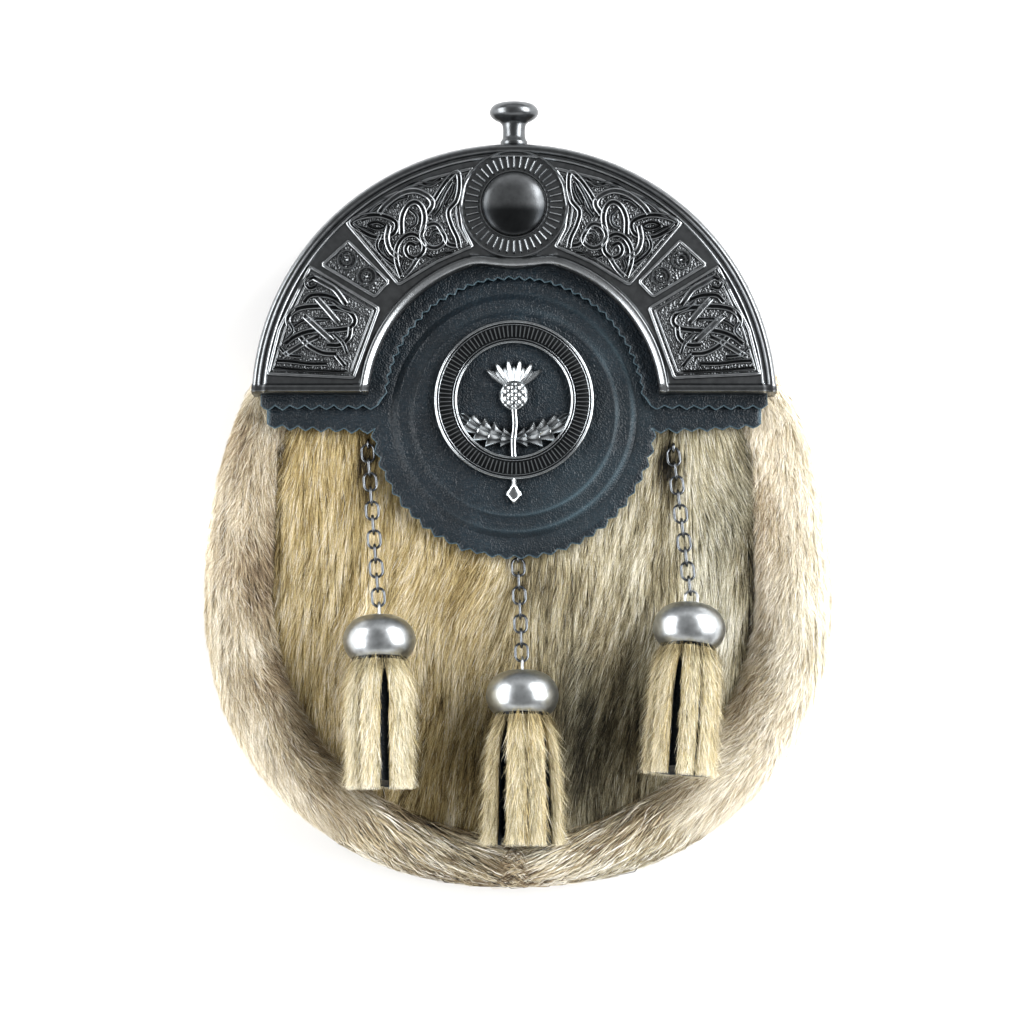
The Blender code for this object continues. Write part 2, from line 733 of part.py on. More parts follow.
def boss_ribs():
    """The ribs round the boss."""
    outlines = rib_outlines(RIB_COUNT, RIB_INNER, RIB_OUTER, RIB_THICK)
    low, top = FIELD_OUT - RELIEF_SINK, FIELD_OUT + RIB_HEIGHT
    obj = merged([slab([rib], low, top) for rib in outlines])
    obj.location.y = BOSS_UP * MM
    return obj


def both_sides(shapes):
    """Each shape of the left side, and its mirror image on the right."""
    made = []
    for obj in shapes:
        obj.data.transform(obj.matrix_world)
        obj.matrix_world = Matrix.Identity(4)
        mesh = obj.data.copy()
        mesh.transform(Matrix.Scale(-1.0, 4, Vector((1.0, 0.0, 0.0))))
        mesh.flip_normals()
        made += [obj, mesh_object("mirrored", mesh)]
    return made


def cantle(front):
    """One casting: a skirted half ring, hollow behind, with a sunk field and raised ornament."""
    centre = (0.0, CANTLE_UP)
    obj = slab([cantle_outline()], GAP, RIM_OUT)
    behind = slab([circle(CANTLE_OUTER - CANTLE_WALL, SKIRT_STEPS, centre)], GAP - CUT_PAST, CANTLE_LOW)
    hollow_shape = cantle_outline(CANTLE_HOLLOW_IN, CANTLE_WALL, CANTLE_WALL)
    hollow = slab([hollow_shape], CANTLE_LOW - CUT_PAST, ROOF_OUT)
    field = slab([cantle_outline(**RIM_WIDTH)], FIELD_OUT, RIM_OUT + CUT_PAST)
    combine(obj, [behind, hollow, field], "DIFFERENCE")
    left = [ridge(outline) for outline in (knot_frame(), ring_frame(), beast_frame())]
    left += interlace(KNOT_LOOPS) + interlace(BEAST_LOOPS) + ring_bosses()
    radii = (RING_RADIUS, RING_RADIUS - FRAME_WIDTH)
    border = [circle(radius, RING_STEPS, (0.0, BOSS_UP)) for radius in radii]
    ring = slab(border, FIELD_OUT - RELIEF_SINK, FIELD_OUT + RING_HEIGHT)
    combine(obj, both_sides(left) + [ring, boss_ribs()], "UNION")
    finish(obj, "cantle", PEWTER, front)


def boss(front):
    """The polished dome in the ring of ribs."""
    low = FIELD_OUT + GAP
    angles = np.radians(np.linspace(90.0, BOSS_EDGE_DEG, BOSS_ROWS))
    dome = [(BOSS_RADIUS * math.cos(a), low + BOSS_DOME * math.sin(a)) for a in angles]
    profile = dome + [(BOSS_RADIUS, low), (0.0, low)]
    finish(turned(profile, BOSS_STEPS, (0.0, BOSS_UP)), "cantle_boss", PEWTER, front)


def knob(front):
    """The turned knob on the cantle's crown."""
    obj = turned([(row["radius"], row["over"]) for row in KNOB_PROFILE], KNOB_STEPS)
    obj.data.transform(Matrix.Rotation(-math.pi / 2, 4, "X"))
    obj.location = Vector((0.0, KNOB_FOOT_UP, KNOB_OUT)) * MM
    finish(obj, "knob", PEWTER, front)


# ---------------------------------------------------------------- leather


def leather_backing(front):
    """The band under the cantle, with pinked ends and a pinked inner edge."""
    centre = (0.0, CANTLE_UP)
    start = -math.degrees(math.asin((CANTLE_UP - BACKING_END_UP) / BACKING_OUTER))
    outside = arc(centre, BACKING_OUTER, start, 180.0 - start, LEATHER_ARC_STEPS)
    far = (outside[-1][0] + BACKING_NOTCH, BACKING_END_UP)
    left_end = pinked(bowed(far, (-BACKING_CORNER_ACROSS, BACKING_END_UP), BACKING_END_SAG))
    inner = arc(centre, BACKING_INNER, BACKING_ARC_DEG["from"], BACKING_ARC_DEG["to"], PINKED_STEPS)
    outline = outside + left_end + pinked(inner) + mirrored(left_end)
    finish(slab([outline], BACKING_LOW, BACKING_TOP), "leather_backing", LEATHER, front)


def leather_flap(front):
    """The flap: a disc with two arms, pinked below, its middle embossed in rings."""
    centre = (0.0, FLAP_UP)
    drop = FLAP_UP - FLAP_CORNER_UP
    reach = math.sqrt(FLAP_RADIUS**2 - drop**2)
    start = math.degrees(math.asin(drop / FLAP_RADIUS))
    disc = pinked(arc(centre, FLAP_RADIUS, 180.0 + start, 360.0 - start, PINKED_STEPS))
    left_arm = pinked(bowed((-FLAP_ARM_ACROSS, FLAP_ARM_UP), (-reach, FLAP_CORNER_UP), FLAP_ARM_SAG))
    top = math.degrees(math.asin((FLAP_ARM_TOP - FLAP_UP) / FLAP_RADIUS))
    crown = arc(centre, FLAP_RADIUS, top, 180.0 - top, LEATHER_ARC_STEPS)
    edge_up = [(FLAP_ARM_ACROSS, FLAP_ARM_TOP)]
    outline = left_arm[:-1] + disc + mirrored(left_arm)[1:] + edge_up + crown + mirrored(edge_up)
    obj = slab([outline], FLAP_LOW, FLAP_TOP)
    rings = [(row["radius"], FLAP_TOP + row["over"]) for row in reversed(EMBOSS)]
    foot = [(EMBOSS[0]["radius"], FLAP_LOW + EMBOSS_FOOT), (0.0, FLAP_LOW + EMBOSS_FOOT)]
    combine(obj, [turned(rings[:-1] + foot, EMBOSS_STEPS, centre)], "UNION")
    finish(obj, "leather_flap", LEATHER, front)


# ---------------------------------------------------------------- badge


def leaf_outline():
    """The right-hand leaf: half widths laid off both sides of its spine."""
    root, tip = Vector(LEAF_SPINE["from"]), Vector(LEAF_SPINE["to"])
    side = Vector((root.y - tip.y, tip.x - root.x)).normalized()
    low = [tuple(root.lerp(tip, row["share"]) - side * row["half"]) for row in LEAF]
    high = [tuple(root.lerp(tip, row["share"]) + side * row["half"]) for row in LEAF]
    return low + high[::-1]


def crown_outline():
    """The thistle's tuft: spikes and dips by turns on two ellipses."""
    points = [(THISTLE_CROWN["root"], THISTLE_CROWN["up"])]
    for k in reversed(range(2 * CROWN_SPIKES - 1)):
        angle = math.radians(THISTLE_CROWN["first_deg"] - THISTLE_CROWN["step_deg"] * k)
        reach = CROWN_TIP if k % 2 == 0 else CROWN_DIP
        across, along = reach["across"] * math.cos(angle), reach["along"] * math.sin(angle)
        points.append((across, THISTLE_CROWN["up"] + along))
    return points + [(-THISTLE_CROWN["root"], THISTLE_CROWN["up"])]


def thistle(low):
    """A thistle sprig across the ring: bulb, tuft, stem and two leaves, as flat shapes that overlap."""
    across, along = THISTLE_BULB["across"], THISTLE_BULB["along"]
    bulb = [(across * x, THISTLE_BULB["up"] + along * y) for x, y in circle(1.0, THISTLE_BULB["steps"])]
    half, foot = STEM["half_width"], -BADGE_INNER - BADGE_RIM
    stem = [(-half, STEM["top"]), (-half, foot), (half, foot), (half, STEM["top"])]
    return [
        slab([bulb], low, BADGE_TOP + THISTLE_BULB["rise"]),
        slab([crown_outline()], low, BADGE_TOP),
        slab([stem], low, BADGE_TOP + BADGE_LIFT),
        slab([leaf_outline()], low, BADGE_TOP + 2 * BADGE_LIFT),
        slab([mirrored(leaf_outline())], low, BADGE_TOP + 2 * BADGE_LIFT),
    ]


def badge(front):
    """One pierced casting: a ribbed ring with two rims, a thistle across it and a drop below."""
    obj = slab([circle(radius, BADGE_STEPS) for radius in (BADGE_OUTER, BADGE_INNER)], BADGE_LOW, BADGE_TOP)
    low, high = BADGE_LOW + BADGE_LIFT, BADGE_TOP + BADGE_RELIEF
    joined = []
    for edge, inward in ((BADGE_OUTER, -1.0), (BADGE_INNER, 1.0)):
        rim = [circle(edge + inward * inset, BADGE_STEPS) for inset in (BADGE_LIFT, BADGE_RIM)]
        joined.append(slab(rim, low, high))
    rib_top = BADGE_TOP + BADGE_RELIEF / 2
    ribs = rib_outlines(**BADGE_RIBS)
    joined.append(merged([slab([rib], BADGE_TOP - BADGE_RELIEF, rib_top) for rib in ribs]))
    joined += thistle(low) + [slab([BADGE_DROP], low, rib_top)]
    combine(obj, joined, "UNION")
    obj.location.y = BADGE_UP * MM
    finish(obj, "badge", SILVER, front)


# ---------------------------------------------------------------- chains and tassels


def link(centre, along, face_on):
    """An oval link: a torus drawn out along its length, lying face-on or edge-on to the front."""
    bpy.ops.mesh.primitive_torus_add(
        major_segments=LINK_STEPS,
        minor_segments=LINK_SIDES,
        major_radius=(LINK_WIDTH - WIRE) / 2 * MM,
        minor_radius=WIRE / 2 * MM,
    )
    obj = bpy.context.object
    obj.data.transform(Matrix.Rotation(math.pi / LINK_STEPS, 4, "Z"))
    stretch = (LINK_INNER_LENGTH + 2.0 * WIRE - LINK_WIDTH) / 2
    for vertex in obj.data.vertices:
        vertex.co.y += math.copysign(stretch * MM, vertex.co.y)
    along = Vector(along).normalized()
    across = along.cross(Vector((0.0, 0.0, 1.0))).normalized()
    out = across.cross(along)
    if not face_on:
        across, out = -out, across
    turn = Matrix((across, along, out)).transposed().to_4x4()
    obj.data.transform(Matrix.Translation(Vector(centre) * MM) @ turn)
    return obj


def chain_links(eye, staple_spot, count):
    """Centres and heading of the links on the taut line from the cup's eye up to the staple."""
    reach = LINK_PITCH * count + (LINK_INNER_LENGTH + WIRE) / 2
    fall = (TOP_LINK_OUT - eye.z) / reach
    flat = (Vector(staple_spot) - eye.xy).normalized() * math.sqrt(1.0 - fall**2)
    heading = Vector((*flat, fall))
    return [eye + heading * LINK_PITCH * (k + 1) for k in range(count)], heading


def chain(name, centres, heading, front):
    """Interlocking links, every other one turned on its edge, the top one face-on."""
    for k, centre in enumerate(reversed(centres)):
        obj = link(centre, heading, face_on=k % 2 == 0)
        finish(obj, f"link_{name}_{k + 1:02d}", SILVER, front, ROUND_SMOOTH_DEG)


def staple(name, top_link, front):
    """The wire arch that holds a chain's top link, with both feet on the hide."""
    across = top_link[0]
    middle = top_link[1] + (LINK_INNER_LENGTH + WIRE) / 2
    curve = bpy.data.curves.new("staple", "CURVE")
    curve.dimensions = "3D"
    curve.bevel_depth = WIRE / 2 * MM
    curve.bevel_resolution = 1
    curve.use_fill_caps = True
    bend = arc((middle, STAPLE_RISE - STAPLE_HALF), STAPLE_HALF, 180.0, 0.0, STAPLE_STEPS)
    arch = [(across, up, out) for up, out in bend]
    course = [(across, middle - STAPLE_HALF, GAP)] + arch + [(across, middle + STAPLE_HALF, GAP)]
    spline = curve.splines.new("POLY")
    spline.points.add(len(course) - 1)
    spline.points.foreach_set("co", [c * s for p in course for c, s in zip((*p, 1.0), (MM, MM, MM, 1.0))])
    finish(facing_out(baked(mesh_object("staple", curve))), f"chain_staple_{name}", SILVER, front)


def cup(name, face_on, hang):
    """The tassel's metal cup with the eye that its chain holds."""
    obj = turned([(row["radius"], row["up"]) for row in CUP_PROFILE], CUP_STEPS)
    eye = link((0.0, EYE_UP, 0.0), (0.0, 1.0, 0.0), face_on)
    eye.data.transform(Matrix.Rotation(math.radians(90.0), 4, "X"))
    combine(obj, [eye], "UNION")
    finish(obj, f"tassel_cup_{name}", SATIN, hang, ROUND_SMOOTH_DEG)


def strip(angle, spread):
    """One strip of a tassel: a bar of four corners, drawn down its course and cut square."""
    ray = Vector((math.cos(angle), math.sin(angle)))
    side = Vector((-ray.y, ray.x))
    points = []
    for level, row in enumerate(STRIP_COURSE):
        widen = 1.0 + (spread - 1.0) * level / (len(STRIP_COURSE) - 1)
        for out, across in STRIP_SECTION:
            spot = ray * (row["radius"] + out * row["half_thick"]) + side * across * row["half_width"]
            points.append((spot.x * widen * MM, spot.y * widen * MM, row["up"] * MM))
    corners = len(STRIP_SECTION)
    last = len(points) - corners
    faces = [tuple(range(corners)), tuple(range(last, len(points)))]
    for base in range(0, last, corners):
        for k in range(corners):
            after = (k + 1) % corners
            faces.append((base + k, base + after, base + corners + after, base + corners + k))
    mesh = bpy.data.meshes.new("strip")
    mesh.from_pydata(points, [], faces)
    return facing_out(mesh_object("strip", mesh))


def tassel(name, spread, hang):
    """Fur strips joined round a plug, which the cup holds."""
    profile = [(0.0, TASSEL_TOP), (PLUG_RADIUS, TASSEL_TOP), (PLUG_RADIUS, PLUG_LOW), (0.0, PLUG_LOW)]
    plug = turned(profile, PLUG_STEPS)
    step = 2.0 * math.pi / TASSEL_STRIPS
    combine(plug, [strip(step * (k + 0.5), spread) for k in range(TASSEL_STRIPS)], "UNION")
    finish(plug, f"tassel_{name}", FUR, hang)


def hang_tassel(row, front):
    """A staple, a chain, a cup and a tassel: the cup lies on the hide, and the roll lifts the lower end."""
    name = row["name"]
    across, up = row["cup"]
    lean, lift = math.radians(row["lean"]), math.radians(row["lift"])
    # The cup's own up turns to the front frame's up, leaning across it and dipping in at the chain's side
    hang = frame(f"tassel_frame_{name}", front, (across, up, CUP_OUT))
    turn = Matrix.Rotation(lean, 3, "Z") @ Matrix.Rotation(math.radians(-90.0) - lift, 3, "X")
    hang.rotation_euler = turn.to_euler()
    cup(name, row["links"] % 2 == 0, hang)
    tassel(name, row["spread"], hang)
    eye = Vector((across, up, CUP_OUT)) + turn @ Vector((0.0, 0.0, EYE_UP))
    centres, heading = chain_links(eye, row["staple"], row["links"])
    chain(name, centres, heading, front)
    staple(name, centres[-1], front)


def main():
    root = frame("sporran", None, (0.0, CENTRE_SHIFT, 0.0))
    front = frame("front_frame", root, (0.0, 0.0, FRONT_HEIGHT), (math.radians(-FRONT_LEAN_DEG), 0.0, 0.0))
    gusset(root)
    back_panel(root)
    belt_loops(root)
    front_hide(front)
    leather_flap(front)
    leather_backing(front)
    cantle(front)
    boss(front)
    knob(front)
    badge(front)
    for row in TASSELS:
        hang_tassel(row, front)


clear_scene()
PARTS = collection("sporran")
CUTTERS = collection("cutters")
FUR = material("fur", (0.55, 0.42, 0.27), 0.85, 0.0)
LEATHER = material("black_leather", (0.02, 0.023, 0.028), 0.55, 0.0)
PEWTER = material("antique_pewter", (0.16, 0.16, 0.16), 0.32, 1.0)
SATIN = material("satin_pewter", (0.55, 0.55, 0.54), 0.38, 1.0)
SILVER = material("bright_pewter", (0.62, 0.63, 0.64), 0.28, 1.0)
main()
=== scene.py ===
"""Looks of the sporran pouch: fur, pinked leather, cast pewter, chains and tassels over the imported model.

Sizes are in millimetres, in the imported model's frame or in the front frame (across, up, out) that leans with
the wedge-shaped pouch. MM turns them to metres where a mesh, a lamp or the camera is made.
"""

import logging
import math
from collections.abc import Callable, Sequence
from dataclasses import dataclass, field
from enum import Enum
from functools import partial

import bpy
import numpy as np
from mathutils import Matrix, Vector
from mathutils.geometry import delaunay_2d_cdt
from numpy.typing import NDArray


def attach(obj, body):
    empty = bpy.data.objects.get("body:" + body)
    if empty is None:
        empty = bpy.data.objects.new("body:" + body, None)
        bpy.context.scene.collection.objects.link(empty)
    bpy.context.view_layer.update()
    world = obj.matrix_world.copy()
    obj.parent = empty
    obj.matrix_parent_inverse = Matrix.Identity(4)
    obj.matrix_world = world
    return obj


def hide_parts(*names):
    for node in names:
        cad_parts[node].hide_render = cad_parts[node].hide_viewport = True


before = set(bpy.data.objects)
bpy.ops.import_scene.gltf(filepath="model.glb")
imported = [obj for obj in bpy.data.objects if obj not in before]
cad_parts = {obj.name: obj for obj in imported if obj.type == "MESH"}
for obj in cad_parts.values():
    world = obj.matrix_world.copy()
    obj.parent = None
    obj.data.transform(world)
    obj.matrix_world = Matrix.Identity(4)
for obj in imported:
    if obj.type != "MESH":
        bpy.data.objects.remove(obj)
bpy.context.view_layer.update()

Points = NDArray[np.float64]
Faces = NDArray[np.int64]
Row = tuple[float, ...]
Table = tuple[Row, ...]
Material, Node, Tree = bpy.types.Material, bpy.types.Node, bpy.types.NodeTree
Input = float | Row | Node
Random = np.random.Generator
LOG = logging.getLogger("sporran")
MM = 0.001
FULL_TURN = 2.0 * math.pi
OUT = (0.0, 0.0, 1.0)  # the way out of the front frame
LATTICE = 97  # cells before random values repeat
FLOOR_GAP = 0.35  # the lowest that a hair comes to the floor

# The wedge that the front leans on
FRONT_LEAN = math.radians(3.5)
FRONT_HEIGHT = 25.0
CENTRE_SHIFT = -1.37


# ---- numbers and shapes


def linear(code: str) -> Row:
    """Turns an sRGB hex colour to linear light: the curve's foot is divided by 12.92, the rest has power 2.4.

    Args:
        code: The colour as "#rrggbb".

    Returns:
        Red, green, blue and a full alpha.
    """
    values = np.array([int(code[k : k + 2], 16) for k in (1, 3, 5)]) / 255.0
    light = np.where(values <= 0.04045, values / 12.92, ((values + 0.055) / 1.055) ** 2.4)
    return (*light.tolist(), 1.0)


def smooth(low: float, high: float, values: Points) -> Points:
    """A soft step from 0 at low to 1 at high, which may be the lower one: 3 t squared less 2 t cubed."""
    share = np.clip((values - low) / (high - low), 0.0, 1.0)
    return share * share * (3.0 - 2.0 * share)


def cloud(first: Points, second: Points, cells: Row, seed: int, shift: float = 200.0) -> Points:
    """Smooth random values: numbers on a lattice, joined by soft steps along both ways.

    Args:
        first, second: Both coordinates of each point, in mm.
        cells: The lattice's spacing along each, in mm.
        seed: Which random lattice.
        shift: How far below zero the lattice starts.

    Returns:
        Values from 0 to 1.
    """
    lattice = np.random.default_rng(seed).random((LATTICE, LATTICE))
    x, y = (first + shift) / cells[0], (second + shift) / cells[1]
    column, row = np.floor(x).astype(int), np.floor(y).astype(int)
    across, along = smooth(0.0, 1.0, x - column), smooth(0.0, 1.0, y - row)
    left, right = column % LATTICE, (column + 1) % LATTICE
    rows = (row % LATTICE, (row + 1) % LATTICE)
    near, far = (lattice[left, k] * (1 - across) + lattice[right, k] * across for k in rows)
    return near * (1 - along) + far * along


def waver(first: Points, second: Points, cells: Row, seed: int, shift: float = 200.0) -> Points:
    """The cloud about zero, from -0.5 to 0.5."""
    return cloud(first, second, cells, seed, shift) - 0.5


def lock_middles(tips: Points, size: Row, seed: int) -> Points:
    """Where each tip's lock draws together: a spot in the lattice cell that the tip is in, drawn at random.

    Args:
        tips: The hairs' tips, flat or in space.
        size: A cell's size each way, in mm.
        seed: Which random spots.

    Returns:
        A spot for each tip.
    """
    cell, ways = np.floor(tips / size).astype(int), len(size)
    spots = np.random.default_rng(seed).uniform(0.15, 0.85, (*[LATTICE] * ways, ways))
    return (cell + spots[tuple(cell.T % LATTICE)]) * size


def leaned(points: Points) -> Points:
    """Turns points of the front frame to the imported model's frame: a turn about the across axis, and a lift.

    Args:
        points: Rows of across, up and out.

    Returns:
        Rows of x, y and z.
    """
    across, up, out = np.moveaxis(np.asarray(points, float), -1, 0)
    along = up * math.cos(FRONT_LEAN) + out * math.sin(FRONT_LEAN) + CENTRE_SHIFT
    height = FRONT_HEIGHT - up * math.sin(FRONT_LEAN) + out * math.cos(FRONT_LEAN)
    return np.stack([across, along, height], -1)


def with_out(flat: Points, out: float | Points) -> Points:
    """Flat points of the front frame with a height out of it."""
    return np.concatenate([flat, np.broadcast_to(out, flat.shape[:-1])[..., None]], -1)


def unit(vectors: Points) -> Points:
    """Each vector at length 1."""
    return vectors / np.maximum(np.linalg.norm(vectors, axis=-1, keepdims=True), 1e-9)


def around(turn: Points) -> Points:
    """Points of a circle of radius 1 at these turns: their cosines and sines."""
    return np.stack([np.cos(turn), np.sin(turn)], -1)


def arc(centre: Row, radius: float, start: float, end: float, steps: int) -> Points:
    """Points of a circle's arc, between two angles in degrees from the across axis."""
    return np.array(centre) + radius * around(np.radians(np.linspace(start, end, steps + 1)))


def cubic(p0: Points, p1: Points, p2: Points, p3: Points, t: Points) -> Points:
    """The cubic from p1 to p2 at the shares t, whose slopes there are half the steps p2 - p0 and p3 - p1."""
    return p1 + 0.5 * t * (p2 - p0 + t * (2 * p0 - 5 * p1 + 4 * p2 - p3 + t * (3 * (p1 - p2) + p3 - p0)))


def spline(points: Sequence[Row] | Points, steps: int, closed: bool = False) -> Points:
    """A smooth line through points, with a cubic for each stretch.

    Args:
        points: The points that it passes through, of any number of coordinates.
        steps: How many steps a stretch has.
        closed: Whether its last point leads back to its first.

    Returns:
        The points of the fine line.
    """
    given = np.array(points, float)
    if closed:
        padded = np.concatenate([given[-1:], given, given[:2]])
    else:
        padded = np.concatenate([2 * given[:1] - given[1:2], given, 2 * given[-1:] - given[-2:-1]])
    corners = (padded[k : len(padded) - 3 + k][:, None] for k in range(4))
    fine = cubic(*corners, np.arange(steps)[None, :, None] / steps).reshape(-1, given.shape[1])
    return fine if closed else np.concatenate([fine, given[-1:]])


def evenly(line: Points, pitch: float, closed: bool = False) -> Points:
    """The same line with its points at equal steps.

    Args:
        line: Its points.
        pitch: About how long a step is.
        closed: Whether its last point leads back to its first.

    Returns:
        The new points.
    """
    line = np.concatenate([line, line[:1]]) if closed else line
    along = np.concatenate([[0.0], np.cumsum(np.linalg.norm(np.diff(line, axis=0), axis=1))])
    marks = np.linspace(0.0, along[-1], max(3, round(along[-1] / pitch)) + 1)
    fine = np.stack([np.interp(marks, along, values) for values in line.T], 1)
    return fine[:-1] if closed else fine


@dataclass(frozen=True)
class Oval:
    """A line round the pouch: half an oval below its middle and half one above, both of one power."""

    half: float
    middle: float
    down: float
    up: float
    power: float = 2.0

    def turn_at(self, up: float) -> float:
        """The turn at a height: the arcsine of the height's share of the reach, to half the power."""
        return math.asin(((up - self.middle) / self.up) ** (self.power / 2))

    def at(self, turn: Points, inset: float = 0.0, fuller: float | Points = 0.0) -> tuple[Points, Points]:
        """Across and up at a turn: the half sizes times its cosine and sine, each to 2 over the power.

        Args:
            turn: From minus a quarter turn at the bottom.
            inset: How far the line is drawn in.
            fuller: How much further it stands out across.

        Returns:
            Across and up.
        """
        reach = np.where(turn < 0, self.down, self.up) - inset
        across = (self.half - inset + fuller) * np.abs(np.cos(turn)) ** (2.0 / self.power)
        return across, self.middle + np.sign(turn) * reach * np.abs(np.sin(turn)) ** (2.0 / self.power)

    def share(self, across: Points, up: Points, inset: float = 0.0) -> Points:
        """How far out points are, 1 on the line of an ellipse: the root of the sum of both squared shares."""
        reach = np.where(up < self.middle, self.down, self.up) - inset
        return np.hypot(across / (self.half - inset), (up - self.middle) / reach)


SEAM = Oval(77.5, -28.0, 81.5, 138.0)  # between the front and the roll
RIM = Oval(97.5, -33.9, 89.5, 121.3, 2.2)  # where the roll is widest


def grid_faces(rows: int, columns: int, ring: bool = False) -> Faces:
    """Quads between neighbours of a grid numbered row by row: its columns close in a ring, its rows may."""
    row, column = np.arange(rows if ring else rows - 1)[:, None], np.arange(columns)[None, :]
    near, far, beside = row * columns, (row + 1) % rows * columns, (column + 1) % columns
    return np.stack([near + column, near + beside, far + beside, far + column], -1).reshape(-1, 4)


@dataclass
class Shell:
    """A mesh in the making: points in mm, faces, and values that its material reads at each point."""

    points: Points
    quads: Faces = field(default_factory=lambda: np.zeros((0, 4), int))
    triangles: Faces = field(default_factory=lambda: np.zeros((0, 3), int))
    marks: dict[str, Points] = field(default_factory=dict)

    def moved(self, points: Points, turned: bool = False) -> "Shell":
        """The same with its points elsewhere, and with every face turned round where that is asked."""
        way = -1 if turned else 1
        return Shell(points, self.quads[:, ::way], self.triangles[:, ::way], self.marks)

    def outward(self) -> "Shell":
        """Turns every face round if the closed shell's volume, summed over its faces, is below zero."""
        corners = np.concatenate([self.quads[:, :3], self.quads[:, [0, 2, 3]], self.triangles])
        a, b, c = np.moveaxis(self.points[corners], 1, 0)
        return self.moved(self.points, bool(np.einsum("ij,ij->", a, np.cross(b, c)) < 0))

    def mirrored(self) -> "Shell":
        """The same on the other side of the middle: across changes its sign, and the faces turn round."""
        return self.moved(self.points * [-1.0, 1.0, 1.0], turned=True)

    def leaned(self) -> "Shell":
        """The same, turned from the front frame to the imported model's."""
        return self.moved(leaned(self.points))

    def marked(self, **values: float | Points) -> "Shell":
        """The same with these values at its points, each one for all points or one each."""
        spread = {name: np.broadcast_to(value, len(self.points)) for name, value in values.items()}
        return Shell(self.points, self.quads, self.triangles, {**self.marks, **spread})


def joined(shells: Sequence[Shell]) -> Shell:
    """Several shells as one: points in a row, face numbers moved on, and a mark that one lacks is 0 there.

    Args:
        shells: The shells.

    Returns:
        One shell.
    """
    starts = np.cumsum([0] + [len(shell.points) for shell in shells[:-1]])
    marks: dict[str, Points] = {}
    for mark in sorted({name for shell in shells for name in shell.marks}):
        marks[mark] = np.concatenate([shell.marks.get(mark, np.zeros(len(shell.points))) for shell in shells])
    return Shell(
        np.concatenate([shell.points for shell in shells]),
        np.concatenate([shell.quads + start for shell, start in zip(shells, starts)]),
        np.concatenate([shell.triangles + start for shell, start in zip(shells, starts)]),
        marks,
    )


def lofted(rows: Points, ring: bool = False, ends: Points | None = None) -> Shell:
    """A closed tube or bar: rows of points joined in order, each row a ring, and both ends closed by fans.

    Args:
        rows: The points, rows by columns by 3.
        ring: Whether the rows themselves close in a ring, which needs no ends.
        ends: The middle of each end's fan, or None for the mean of its row.

    Returns:
        The shell, facing outwards.
    """
    count, columns = rows.shape[:2]
    points, faces = rows.reshape(-1, 3), grid_faces(count, columns, ring)
    if ring:
        return Shell(points, faces).outward()
    near, last, middle = np.arange(columns), (count - 1) * columns, np.full(columns, len(points))
    beside = (near + 1) % columns
    fans = [np.stack([beside, near, middle], 1), np.stack([near + last, beside + last, middle + 1], 1)]
    ends = rows[[0, -1]].mean(1) if ends is None else ends
    return Shell(np.concatenate([points, ends]), faces, np.concatenate(fans)).outward()


def swept(line: Points, profile: Points, closed: bool = False, normal: Row | Points = OUT) -> Shell:
    """A profile carried along a line: each point stands off the line across its heading and along its normal.

    Args:
        line: The line's points.
        profile: Rows of across and up, or such rows for each point of the line.
        closed: Whether the line is a ring.
        normal: The way up.

    Returns:
        The closed shell.
    """
    heading = unit(np.roll(line, -1, 0) - np.roll(line, 1, 0) if closed else np.gradient(line, axis=0))
    side = unit(np.cross(heading, normal))
    rise = np.cross(side, heading)
    return lofted(line[:, None] + side[:, None] * profile[..., :1] + rise[:, None] * profile[..., 1:], closed)


def revolved(profile: Table | Points, steps: int = 72) -> Shell:
    """A turned solid about z.

    Args:
        profile: Rows of a radius and a height, of which both end rows lie on the axis.
        steps: How many columns go round.

    Returns:
        The closed shell.
    """
    profile = np.array(profile)
    ray, inner = around(FULL_TURN * np.arange(steps) / steps), profile[1:-1, None]
    ends = with_out(np.zeros((2, 2)), profile[[0, -1], 1])
    return lofted(with_out(inner[..., :1] * ray, inner[..., 1]), ends=ends)


def drawn_in(outline: Points, middle: Points, shares: Row, heights: Row) -> Points:
    """Rows of an outline drawn in to a middle by shares, each with its height out."""
    return with_out(middle + (outline - middle) * np.array(shares)[:, None, None], np.array(heights)[:, None])


def domed_bar(width: float, height: float, sink: float, steps: int = 5) -> Points:
    """A low half-round profile: half an ellipse that stands on a foot sunk into what it lies on."""
    arch = around(np.linspace(0.0, math.pi, steps + 1)) * [width / 2, height]
    return np.concatenate([arch, [[-width / 2, -sink], [width / 2, -sink]]])


def radial_bars(count: int, reach: Row, across: Points, out: Points, up: float = 0.0) -> Shell:
    """Short bars at equal turns round a middle: each point lies out along a ray and across it.

    Args:
        count: How many bars.
        reach: The radius of each of a bar's rows.
        across: How far each point of a row lies to the side.
        out: The height out of each row's points.
        up: How far up the middle is.

    Returns:
        The bars as one shell.
    """
    ray = around(FULL_TURN * (np.arange(count) + 0.5) / count)[:, None, None]
    flat = ray * np.array(reach)[:, None, None] + ray[..., ::-1] * [-1.0, 1.0] * across[:, None]
    return joined([lofted(bar) for bar in with_out(flat + [0.0, up], out)])


# ---- finishes


# The output that a kind of node is used for, where it isn't its first
USED_OUTPUT = {"ShaderNodeAttribute": "Fac", "ShaderNodeTexCoord": "Object", "ShaderNodeMix": 2}


def set_inputs(node: Node, inputs: dict[str | int, Input]) -> None:
    """Gives input sockets, by name or number, a value, or a link from the output that a node is used for.

    Args:
        node: The node that has the sockets.
        inputs: What each socket gets.
    """
    for key, value in inputs.items():
        if isinstance(value, Node):
            used = value.outputs[USED_OUTPUT.get(value.bl_idname, 0)]
            node.id_data.links.new(used, node.inputs[key])
        else:
            node.inputs[key].default_value = value


